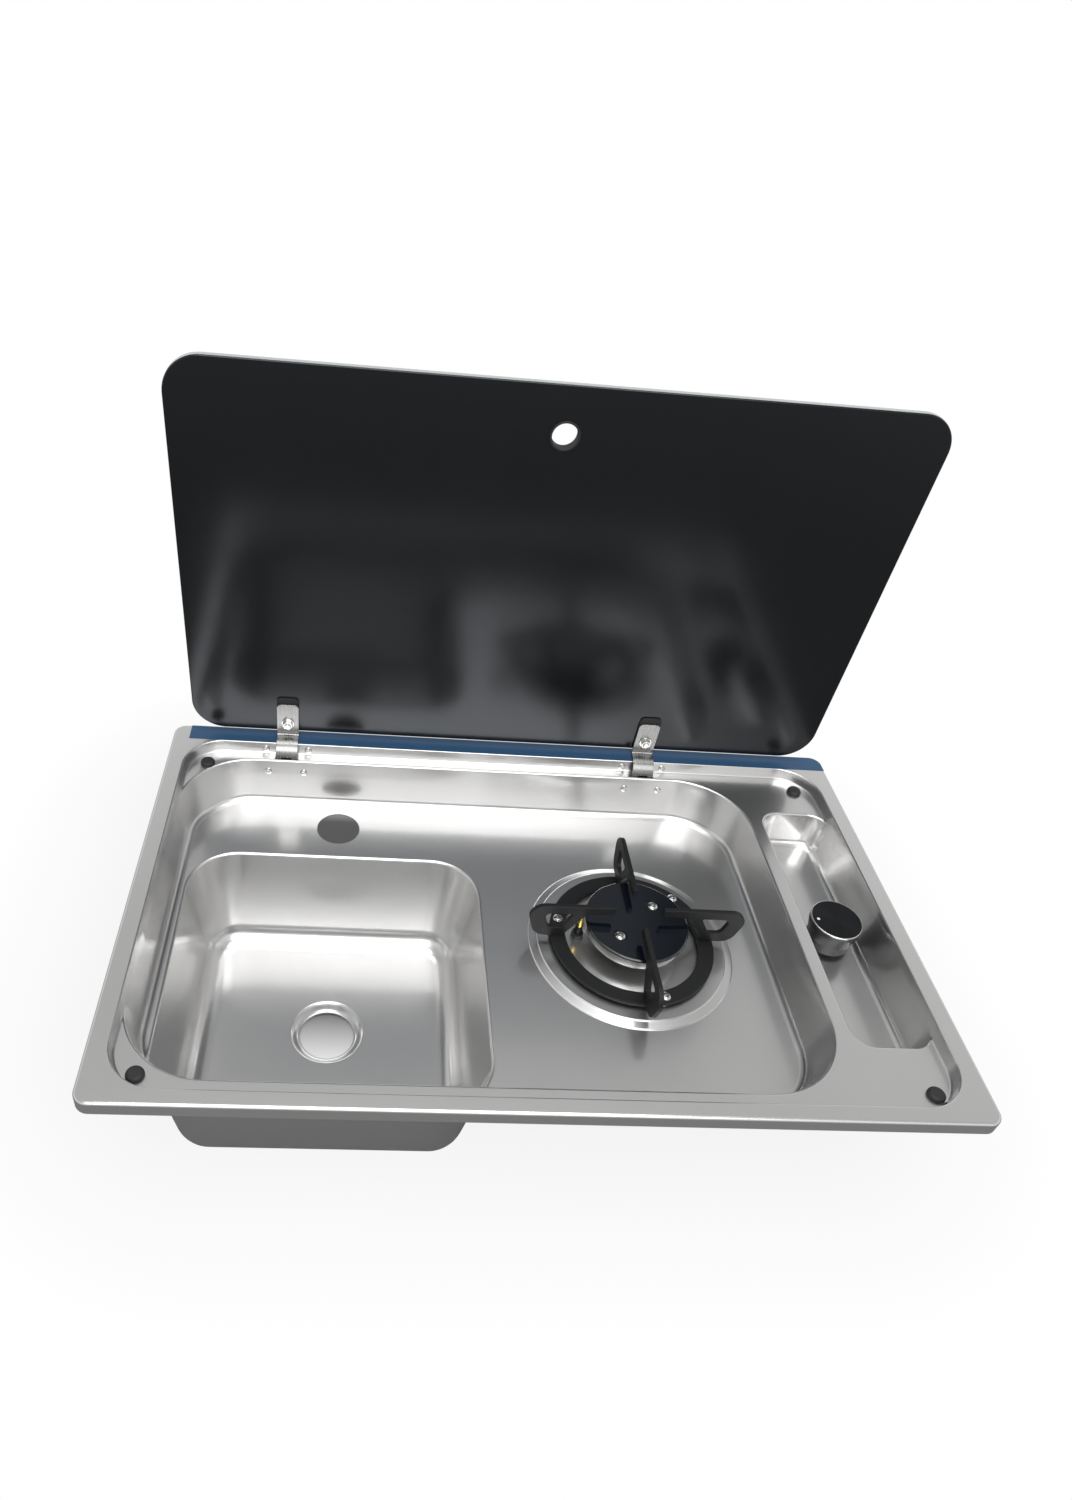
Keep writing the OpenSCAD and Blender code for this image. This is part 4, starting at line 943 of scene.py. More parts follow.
@dataclass
class TraySheet(PieceGroup):
    """The one-piece stainless tray: rim, recess, ledge, pan, bowl and trough as one seamless sheet."""

    thickness: float = 0.8
    lip_bend: float = 2.2
    lip_steps: int = 7
    rim: Outline = Outline(-295, 295, -185, 185, 10)
    recess: Outline = Outline(-281, 281, -173, 166, 34)
    pan: Outline = Outline(-280.2, 209.8, -160, 153.8, 60)
    bowl: Outline = Outline(-266, -28, -153, 78, 40)
    trough: Outline = Outline(221.5, 280.2, -121.5, 116, 16)
    recess_wall: Wall = Wall(10, 1.5, 1.6, 1.2)
    pan_wall: Wall = Wall(40, 6, 6, 1.8)
    bowl_wall: Wall = Wall(90, 12, 18, 2.6)
    trough_wall: Wall = Wall(31.3, 4, 6, 1.8)
    wall_spacings: tuple[float, ...] = (4.0, 30.0, 30.0, 4.0)
    disc: tuple[float, float] = (75.0, 82.0)
    disc_rise: float = 3.0
    disc_step: tuple[float, float] = (0.7, 0.95)
    disc_bend: float = 0.25
    disc_mesh_steps: int = 144
    hole_mesh_steps: int = 72
    dish: tuple[float, float] = (22.0, 30.0)
    dish_depth: float = 6.0
    dish_lead: float = 0.6
    dish_steps: int = 8
    edge_play: float = 0.02
    hole_play: float = 0.001
    merging: float = 1e-4
    slope_step: float = 0.002
    edge_step: float = 0.01
    holes: tuple[tuple[float, float, float], ...] = (
        (*TAP, 18.5),
        (*DRAIN, 22.0),
        (*BURNER_AXIS, 13.0),
        (*KNOB_AXIS, 9.0),
        (*SENSOR_AXIS, 3.0),
    )
    slot: tuple[float, float, float, float] = (10.0, 155.7, 158.9, 0.6)

    def walls(self) -> list[tuple[Outline, Wall]]:
        """Each pressed hollow's outline and wall."""
        return [
            (self.recess, self.recess_wall),
            (self.pan, self.pan_wall),
            (self.bowl, self.bowl_wall),
            (self.trough, self.trough_wall),
        ]

    def height(self, spots: np.ndarray) -> np.ndarray:
        """The upper surface's height at each spot in plan."""
        z = np.full(len(spots), RIM_RISE)
        for outline, wall in self.walls():
            z -= wall.drop(outline.inside(spots))
        z += self.raised(np.linalg.norm(spots - np.array(BURNER_AXIS), axis=1))
        far = np.linalg.norm(spots - np.array(DRAIN), axis=1)
        inner, outer = self.dish
        z -= self.dish_depth * self.ease((outer - far) / (outer - inner - self.dish_lead))
        return z

    def disc_knees(self) -> list[tuple[float, float]]:
        """The radius and height of each bend between deck and disc, two small steps and a flatter band."""
        inner, outer = self.disc
        wide, tall = self.disc_step
        rise = self.disc_rise
        return [(outer, 0.0), (outer - wide, tall), (inner + wide, rise - tall), (inner, rise)]

    def raised(self, far: np.ndarray) -> np.ndarray:
        """How far the burner's disc rises above the deck, with soft bends."""
        b = self.disc_bend

        def soft(x: np.ndarray) -> np.ndarray:
            """A bend from level to a slope of one, centred on 0."""
            return np.where(x <= -b, 0.0, np.where(x >= b, x, (x + b) ** 2 / (4 * b)))

        knees = self.disc_knees()
        rise = np.zeros(len(far))
        for (r0, z0), (r1, z1) in zip(knees, knees[1:]):
            rise += (z1 - z0) / (r0 - r1) * (soft(r0 - far) - soft(r1 - far))
        return rise

    @staticmethod
    def ease(t: np.ndarray) -> np.ndarray:
        """A smooth step from 0 to 1."""
        t = np.clip(t, 0, 1)
        return t * t * (3 - 2 * t)

    def normal(self, spots: np.ndarray) -> np.ndarray:
        """The upper surface's unit normal at each spot in plan."""
        rise = slope(self.height, spots, self.slope_step)
        n = np.column_stack([-rise, np.ones(len(spots))])
        return n / np.linalg.norm(n, axis=1)[:, None]

    def slots(self) -> list[Outline]:
        """The two hinge slots."""
        half, front, back, radius = self.slot
        return [Outline(x - half, x + half, front, back, radius) for x in HINGE_XS]

    def loops(self) -> list[np.ndarray]:
        """Every loop of spots that the surface's mesh follows."""
        made = [self.rim.loop(self.lip_bend)]
        for (outline, wall), longest in zip(self.walls(), self.wall_spacings):
            made += [outline.loop(inset, longest) for inset in wall.insets()]
        for radius, _ in self.disc_knees():
            for k in range(-2, 3):
                made.append(ring(radius + self.disc_bend * k / 2, self.disc_mesh_steps, BURNER_AXIS).spots)
        inner, outer = self.dish
        for k in range(1, self.dish_steps + 1):
            radius = inner + (outer - inner) * k / self.dish_steps
            made.append(ring(radius, self.hole_mesh_steps, DRAIN).spots)
        made += [ring(r, self.hole_mesh_steps, (x, y)).spots for x, y, r in self.holes]
        return made + [trace(slot.corners()).spots for slot in self.slots()]

    def surface(self) -> tuple[np.ndarray, np.ndarray]:
        """Spots in plan and the triangles among them, without what lies in a hole."""
        spots, faces, _ = triangulate(self.loops(), self.merging)
        mids = spots[faces].mean(axis=1)
        keep = np.ones(len(mids), bool)
        for x, y, r in self.holes:
            flat_r = r * math.cos(math.pi / self.hole_mesh_steps) - self.hole_play
            keep &= np.linalg.norm(mids - np.array([x, y]), axis=1) > flat_r
        for slot in self.slots():
            keep &= slot.inside(mids) < self.edge_play
        return spots, faces[keep]

    def build(self) -> None:
        """Makes the sheet with its turned-down lip and its underside."""
        spots, triangles = self.surface()
        tops = list(np.column_stack([spots, self.height(spots)]))
        rows = list(self.normal(spots))
        faces = [[int(c) for c in triangle] for triangle in triangles]
        faces += self.lip(spots, faces, tops, rows)
        maker = MeshMaker()
        count = len(tops)
        maker.points = tops + [p - n * self.thickness for p, n in zip(tops, rows)]
        sides: dict[tuple[int, int], list[np.ndarray]] = {}
        for corners in faces:
            maker.face(corners, [rows[c] for c in corners])
            maker.face([c + count for c in corners], [-rows[c] for c in corners])
            centre = sum(tops[c] for c in corners) / len(corners)
            for a, b in zip(corners, corners[1:] + corners[:1]):
                sides.setdefault((min(a, b), max(a, b)), []).append(centre)
        for (a, b), centres in sides.items():
            if len(centres) == 1:
                away = np.cross(tops[b] - tops[a], rows[a])
                if float(away @ (tops[a] - centres[0])) < 0:
                    away = -away
                maker.face([a, b, b + count, a + count], [away] * 4)
        nodes = "tray_rim hob_pan sink_bowl control_trough"
        self.add(maker, "tray_sheet", nodes, Body.TRAY, "stainless", ("satin_stainless",))

    def lip(
        self, spots: np.ndarray, triangles: list[list[int]], tops: list[np.ndarray], rows: list[np.ndarray]
    ) -> list[list[int]]:
        """Rolls the rim's outer edge down to the worktop.

        Args:
            spots: the surface's spots in plan.
            triangles: the surface's triangles.
            tops: the surface's points, which grow.
            rows: their normals, which grow.

        Returns:
            The lip's faces.
        """
        edge = np.nonzero(self.rim.inside(spots) < self.lip_bend + self.edge_play)[0]
        outs = -slope(self.rim.inside, spots[edge], self.edge_step)
        outs /= np.linalg.norm(outs, axis=1)[:, None]
        angles = [math.pi / 2 * k / self.lip_steps for k in range(1, self.lip_steps + 1)]
        stations = [(a, RIM_RISE - self.lip_bend * (1 - math.cos(a))) for a in angles] + [(math.pi / 2, 0.0)]
        levels: dict[int, list[int]] = {}
        for i, away in zip(edge, outs):
            levels[i] = [i]
            rows[i] = UP
            for angle, z in stations:
                levels[i].append(len(tops))
                tops.append(np.array([*(spots[i] + away * self.lip_bend * math.sin(angle)), z]))
                rows.append(np.array([*(away * math.sin(angle)), math.cos(angle)]))
        quads = []
        for a, b, c in triangles:
            for i, j in ((a, b), (b, c), (c, a)):
                if i in levels and j in levels:
                    down = zip(levels[i], levels[i][1:], levels[j][1:], levels[j])
                    quads += [[int(corner) for corner in quad] for quad in down]
        return quads


# Lid


@dataclass
class GlassLid(PieceGroup):
    """The black glass lid with its finger ring, drawn closed and turned open."""

    half_width: float = 277.8
    front: float = -169.8
    rear: float = 152.0
    glass_rear: float = 154.3
    corner: float = 28.0
    low: float = 4.8
    high: float = 10.8
    edge_bevel: float = 1.0
    finger_y: float = -133.8
    finger_radius: float = 9.3
    ring_wall: float = 0.9
    ring_flange: float = 1.7
    ring_flange_t: float = 0.8
    ring_roundings: tuple[float, float] = (0.7, 0.5)
    pin_y: float = 172.0
    pin_z: float = -1.5
    open_angle: float = 87.0

    def opened(self) -> Matrix:
        """Carries what is drawn on the closed lid to the open lid."""
        return turn_about("X", -self.open_angle, (0, self.pin_y, self.pin_z))

    def build(self) -> None:
        """Makes the glass plate and the rubber ring."""
        maker = MeshMaker()
        corners = box_outline(-self.half_width, self.half_width, self.front, self.glass_rear, self.corner)
        sides = trace(corners, turn_step=4.5)
        wall = self.finger_radius + self.ring_wall
        hole = ring(wall, MIDDLE, (0, self.finger_y))
        maker.plate(sides, [hole], self.low, self.high, self.edge_bevel, 0, 1, 2, steps=4, dark_low=True)
        finishes = ("ground_glass_edge", "black_enamel_glass", "clear_faced_glass")
        self.add(maker, "lid_glass", "glass_lid", Body.LID, "black_glass", finishes, self.opened())
        maker = MeshMaker()
        r, wide = self.finger_radius, self.finger_radius + self.ring_flange
        top, low = self.high + self.ring_flange_t, self.low - self.ring_flange_t
        inner, outer = self.ring_roundings
        line = shape(
            (r, low, inner), (wide, low, outer), (wide, self.low), (wall, self.low),
            (wall, self.high), (wide, self.high), (wide, top, outer), (r, top, inner),
            turn_step=18,
        )
        maker.lathe(line)
        maker.place(Matrix.Translation((0, self.finger_y, 0)))
        self.add(maker, "lid_finger_ring", "finger_ring", Body.LID, "black_rubber", place=self.opened())


class Track:
    """A bent line in the plane, followed by length."""

    def __init__(self, x: float, y: float, heading: float) -> None:
        """Starts at a spot with a heading in degrees."""
        self.spots = [np.array([x, y], float)]
        self.headings = [math.radians(heading)]
        self.lengths = [0.0]

    def go(self, length: float, turn: float = 0.0, steps: int = 1) -> float:
        """Goes on for a length while turning left by an angle in degrees.

        Args:
            length: how far.
            turn: the whole turn.
            steps: how many steps.

        Returns:
            The length of the track so far.
        """
        for _ in range(steps):
            part, bit = length / steps, math.radians(turn) / steps
            chord = part if abs(bit) < TOUCHING else 2 * part / bit * math.sin(bit / 2)
            middle = self.headings[-1] + bit / 2
            self.spots.append(self.spots[-1] + chord * np.array([math.cos(middle), math.sin(middle)]))
            self.headings.append(self.headings[-1] + bit)
            self.lengths.append(self.lengths[-1] + part)
        return self.lengths[-1]

    def arc(self, radius: float, turn: float, step: float = 6.0) -> float:
        """Turns left by an angle round a radius, in steps of about so many degrees."""
        return self.go(radius * abs(math.radians(turn)), turn, max(2, round(abs(turn) / step)))

    def at(self, length: float) -> tuple[np.ndarray, float]:
        """The spot and the heading at a length."""
        length = min(max(length, 0.0), self.lengths[-1])
        x = np.interp(length, self.lengths, [s[0] for s in self.spots])
        y = np.interp(length, self.lengths, [s[1] for s in self.spots])
        return np.array([x, y]), float(np.interp(length, self.lengths, self.headings))


@dataclass
class LidHinge(PieceGroup):
    """One strap hinge: the bent strap and the rubber pad between it and the glass."""

    side: str
    x: float
    lid: GlassLid
    width: float = 19.0
    sheet: float = 1.5
    pad: float = 1.5
    neck: float = 14.2
    small_bend: float = 2.0
    length: float = 29.0
    pad_more: float = 6.0
    tip: float = 4.0
    screw_in: float = 8.5
    screw_r: float = 2.5
    eye: tuple[float, float] = (2.05, 3.4)
    window: tuple[float, float, float] = (259.0, 8.6, 3.4)
    neck_end: float = 285.0
    neck_lead: float = 6.5
    eye_lap: float = 0.6
    eye_rounding: float = 0.25
    last_bend: float = 2.0
    window_rounding: float = 0.5
    strap_bevel: float = 0.3
    pad_bevel: float = 0.35
    pad_gap: float = 0.5

    def strap(self) -> None:
        """Makes the strap as a flat blank with a window and bends it along its track."""
        lid = self.lid
        middle = lid.low - self.pad - self.sheet / 2
        neck, bend = self.neck + self.sheet / 2, self.small_bend + self.sheet / 2
        lift = math.degrees(math.asin((middle - lid.pin_z - bend) / (neck + bend)))
        bend_y = lid.pin_y - (neck + bend) * math.cos(math.radians(lift))
        start = lid.rear - self.length
        track = Track(start, middle, 0.0)
        track.go(bend_y - start)
        neck_start = track.arc(bend, -(90 + lift))
        track.arc(neck, self.neck_end - (180 - lift) - self.neck_lead)
        track.arc(self.last_bend, 90.0)
        end = track.go(neck - self.last_bend - self.eye[1] + self.eye_lap)
        angle, wide, tall = self.window
        mid = neck_start + neck * math.radians(angle - (180 - lift))
        half = self.width / 2
        maker = MeshMaker()
        corners = [
            Corner(0, -half, self.tip),
            Corner(end, -half),
            Corner(end, half),
            Corner(0, half, self.tip),
        ]
        blank = trace(corners, longest=1.0)
        gap = trace(box_outline(mid - tall / 2, mid + tall / 2, -wide / 2, wide / 2, self.window_rounding))
        maker.plate(blank, [gap], -self.sheet / 2, self.sheet / 2, self.strap_bevel, steps=2)

        def route(p: np.ndarray) -> tuple[np.ndarray, np.ndarray]:
            """Carries a point of the blank onto the track."""
            spot, heading = track.at(float(p[0]))
            c, s = math.cos(heading), math.sin(heading)
            place = np.array([-p[1], spot[0] - s * p[2], spot[1] + c * p[2]])
            return place, np.array([[0, -1, 0], [c, 0, -s], [s, 0, c]])

        maker.bend(route)
        inner, outer = self.eye
        to_pin = Matrix.Translation((0, lid.pin_y, lid.pin_z)) @ Matrix.Rotation(math.pi / 2, 4, "Y")
        with maker.moved(to_pin):
            maker.lathe(trace(box_outline(inner, outer, -half, half, self.eye_rounding), turn_step=30), SMALL)
        maker.place(Matrix.Translation((self.x, 0, 0)))
        name = f"hinge_strap_{self.side}"
        self.add(maker, f"{name}_bent", name, Body.LID, "hinge_steel", ("strap_steel",), lid.opened())

    def rubber_pad(self) -> None:
        """Makes the rubber pad between the strap and the glass."""
        lid, half = self.lid, self.width / 2
        maker = MeshMaker()
        front, back = lid.rear - self.length - self.pad_more, lid.rear - self.pad_gap
        sides = trace(box_outline(-half, half, front, back, self.tip), turn_step=12)
        maker.plate(sides, [], lid.low - self.pad, lid.low, self.pad_bevel)
        maker.place(Matrix.Translation((self.x, 0, 0)))
        name = f"hinge_pad_{self.side}"
        self.add(maker, f"{name}_soft", name, Body.LID, "black_rubber", place=lid.opened())

    def build(self) -> None:
        """Makes this hinge's own pieces."""
        self.strap()
        self.rubber_pad()


@dataclass
class LidFasteners(PieceGroup):
    """The screws, nuts and washers of both hinges, and the rivets of their boxes."""

    hinges: tuple[LidHinge, LidHinge]
    sheet: TraySheet
    flange_r: float = 5.6
    flange_t: float = 0.9
    nut_flats: float = 8.0
    nut_height: float = 4.0
    nut_turn: float = 14.0
    nut_rounding: float = 0.5
    flange_rounding: float = 0.3
    screw_past: float = 5.0
    washer_r: float = 7.0
    washer_t: float = 1.0
    washer_rounding: float = 0.35
    upper_rivet: tuple[float, float] = (18.5, 6.2)
    lower_rivet: tuple[float, float] = (15.4, 20.8)

    def on_hinges(self, name: str, node: str, slot: str, draw: Callable[[MeshMaker, LidHinge], None]) -> None:
        """Makes a piece with one copy at each hinge's screw.

        Args:
            name: the piece's name.
            node: the CAD node that it stands for.
            slot: the record's material slot, which names the finish too.
            draw: draws one copy on the screw's axis.
        """
        maker = MeshMaker()
        for hinge in self.hinges:
            with maker.moved(Matrix.Translation((hinge.x, hinge.lid.rear - hinge.screw_in, 0))):
                draw(maker, hinge)
        self.add(maker, name, node, Body.LID, slot, place=self.hinges[0].lid.opened())

    def nut(self, maker: MeshMaker, hinge: LidHinge) -> None:
        """Draws a hexagon nut with a flange on the strap."""
        top = hinge.lid.low - hinge.pad - hinge.sheet
        seat, hole = top - self.flange_t, hinge.screw_r
        with maker.moved(turn_about("Z", self.nut_turn)):
            sides = trace(hexagon(self.nut_flats, self.nut_rounding), turn_step=30)
            maker.plate(sides, [ring(hole, TINY)], top - self.nut_height, seat, self.nut_rounding)
            flange = box_outline(hole, self.flange_r, seat, top, self.flange_rounding)
            maker.lathe(trace(flange, turn_step=22), SMALL)

    def screw(self, maker: MeshMaker, hinge: LidHinge) -> None:
        """Draws a round-headed screw through lid and strap."""
        low = hinge.lid.low - hinge.pad - hinge.sheet - self.screw_past
        top = hinge.lid.high + self.washer_t
        line = shape(
            (0, low), (hinge.screw_r, low, 0.6), (hinge.screw_r, top), (5.1, top, 0.3),
            (4.2, top + 2.2, 1.6), (2.2, top + 2.8, 0.8), (1.6, top + 1.4), (0, top + 1.2),
            closed=False,
        )
        maker.lathe(line, SMALL)

    def washer(self, maker: MeshMaker, hinge: LidHinge) -> None:
        """Draws a rubber washer under the screw's head."""
        low, high = hinge.lid.high, hinge.lid.high + self.washer_t
        disc = box_outline(hinge.screw_r, self.washer_r, low, high, self.washer_rounding)
        maker.lathe(trace(disc, turn_step=22), SMALL)

    def rivets(self) -> None:
        """Makes the eight hollow rivets, four round each hinge."""
        maker = MeshMaker()
        line = shape(
            (0, 0), (1.0, -0.2, 0.2), (1.5, -1.2, 0.4), (2.9, -0.9, 0.5), (3.5, 0, 0.2),
            (2.0, 0), (2.0, 1.6), (2.6, 2.4, 0.5), (0, 2.4),
            closed=False, turn_step=20,
        )
        recess, pan = self.sheet.recess_wall, self.sheet.pan_wall
        upper, lower = recess.draft / recess.depth, pan.draft / (pan.depth - pan.bend)
        (dx0, drop0), (dx1, drop1) = self.upper_rivet, self.lower_rivet
        spots = (
            (dx0, self.sheet.recess.y1 - upper * drop0, RIM_RISE - drop0, upper),
            (dx1, self.sheet.pan.y1 - lower * (LEDGE - RIM_RISE + drop1), RIM_RISE - drop1, lower),
        )
        for hinge in self.hinges:
            for side in (-1, 1):
                for dx, y, z, lean in spots:
                    tilt = turn_about("X", -90 - math.degrees(math.atan(lean)))
                    with maker.moved(Matrix.Translation((hinge.x + side * dx, y, z)) @ tilt):
                        maker.lathe(line, TINY)
        self.add(maker, "hinge_hollow_rivets", "hinge_rivets", Body.TRAY, "bright_steel")

    def build(self) -> None:
        """Makes the pieces in groups of a kind."""
        self.on_hinges("lid_hex_nuts", "lid_nuts", "bright_steel", self.nut)
        self.on_hinges("lid_hinge_screws", "lid_screws", "bright_steel", self.screw)
        self.on_hinges("lid_rubber_washers", "lid_washers", "black_rubber", self.washer)
        self.rivets()


# Hob


@dataclass
class PanSupport(PieceGroup):
    """The enamelled ring with its four upright arms, its screws and its spacers."""

    spacer: float = 2.5
    ring_out: float = 65.5
    ring_in: float = 53.5
    ring_t: float = 3.0
    top: float = 2.8
    reach: float = 85.5
    inner: float = 19.0
    beam: float = 8.2
    foot: float = 9.8
    nose: float = 12.8
    brace: float = 15.8
    lean: float = 17.4
    arm_t: float = 3.6
    nose_r: float = 12.0
    loop_r: float = 4.0
    heel_in: float = 2.8
    tip_t: float = 7.0
    wall_t: float = 2.5
    brace_t: float = 9.8
    arm_bevel: float = 0.5
    ring_rounding: float = 0.7
    spacer_rounding: float = 0.2
    screw_angles: tuple[float, float, float] = (45.0, 165.0, 285.0)
    screw_turn: float = 1.7
    screw_r: float = 2.0
    screw_past: float = 4.0
    head: tuple[float, float] = (4.2, 2.4)
    spacer_r: float = 4.0

    def swell(self, radius: float) -> float:
        """How far the corner before a leaning rounded end lies beyond the end itself."""
        lean = math.radians(self.lean)
        return radius * (1 / math.cos(lean) + math.tan(lean) - 1)

    def arm(self) -> tuple[Line, Line]:
        """The arm's outline and its loop, from the axis outwards."""
        foot = DISC_TOP + self.spacer + self.ring_t
        heel = (self.ring_in + self.ring_out) / 2 - self.heel_in
        knee = heel - self.brace
        fall = math.tan(math.radians(self.lean))
        far = self.reach + self.swell(self.nose_r)
        outer = shape(
            (self.inner, self.top - self.tip_t, 1.0), (knee, self.top - self.beam, 4.0), (heel, foot, 0.6),
            (far - (self.top - foot) * fall, foot, self.nose_r), (far, self.top, self.nose_r),
            (self.inner, self.top, 0.6),
        )
        high, low = self.top - self.beam, foot + self.foot
        side = self.reach - self.nose + self.swell(self.loop_r)
        gap = shape(
            (heel + self.wall_t, low, 1.2), (side - (high - low) * fall, low, self.loop_r),
            (side, high, self.loop_r), (knee + self.brace_t, high, 1.2),
            turn_step=12,
        )
        return outer, gap

    def build(self) -> None:
        """Makes the support, its screws and its spacers."""
        maker = MeshMaker()
        low = DISC_TOP + self.spacer
        band = box_outline(self.ring_in, self.ring_out, low, low + self.ring_t, self.ring_rounding)
        maker.lathe(trace(band, turn_step=18), WIDE)
        outer, gap = self.arm()
        for quarter in range(4):
            with maker.moved(turn_about("Z", 90.0 * quarter) @ turn_about("X", 90)):
                maker.plate(outer, [gap], -self.arm_t / 2, self.arm_t / 2, self.arm_bevel)
        place = Matrix.Translation((*BURNER_AXIS, 0))
        self.add(maker, "pan_support_enamelled", "pan_support", Body.TRAY, "matt_black_enamel", place=place)
        middle = (self.ring_in + self.ring_out) / 2
        under = self.ring_t + self.spacer
        tube = box_outline(self.screw_r, self.spacer_r, -under, -self.ring_t, self.spacer_rounding)
        sleeve = trace(tube, turn_step=30)
        maker, spacers = MeshMaker(), MeshMaker()
        for angle in self.screw_angles:
            a = math.radians(angle)
            where = Matrix.Translation((middle * math.cos(a), middle * math.sin(a), low + self.ring_t))
            with maker.moved(where @ turn_about("Z", angle * self.screw_turn)):
                cross_screw(maker, *self.head, self.screw_r, under + self.screw_past)
            with spacers.moved(where):
                spacers.lathe(sleeve, TINY)
        self.add(maker, "support_cross_screws", "support_screws", Body.TRAY, "bright_steel", place=place)
        self.add(spacers, "support_round_spacers", "support_spacers", Body.TRAY, "bright_steel", place=place)


def cross_screw(maker: MeshMaker, radius: float, height: float, shank: float, length: float) -> None:
    """Adds a raised round screw with a cross recess, its head standing on Z = 0.

    Args:
        maker: where the screw goes.
        radius: the head's radius.
        height: the head's height.
        shank: the shank's radius.
        length: the shank's length.
    """
    flat, deep = radius * 0.56, height - radius * 0.36
    mouth, arm, half = flat * 0.9, radius * 0.46, radius * 0.13
    narrowing, rise = 0.8, 0.2
    line = shape(
        (0, -length), (shank, -length, 0.4), (shank, 0), (radius, 0, 0.25),
        (radius * 0.96, height * 0.55, radius * 0.3), (flat, height, radius * 0.35), (mouth, height),
        closed=False, turn_step=12,
    )
    maker.lathe(line, SMALL)
    corners = []
    for k in range(4):
        for dx, dy in ((half, -half), (arm, -half), (arm, half)):
            corners.append(Corner(*turned(np.array([dx, dy]), math.pi / 2 * k)))
    cross, _ = unique_spots(trace(corners))
    maker.flat([ring(mouth, SMALL).spots, cross], height, UP)
    top = [maker.point(p[0], p[1], height) for p in cross]
    low = [maker.point(p[0] * narrowing, p[1] * narrowing, deep) for p in cross]
    for i, spot in enumerate(cross):
        j = (i + 1) % len(cross)
        side = right_of(cross[j] - spot)
        maker.face([top[i], top[j], low[j], low[i]], [np.array([-side[0], -side[1], rise])] * 4)
    maker.face(low, [UP] * len(low))


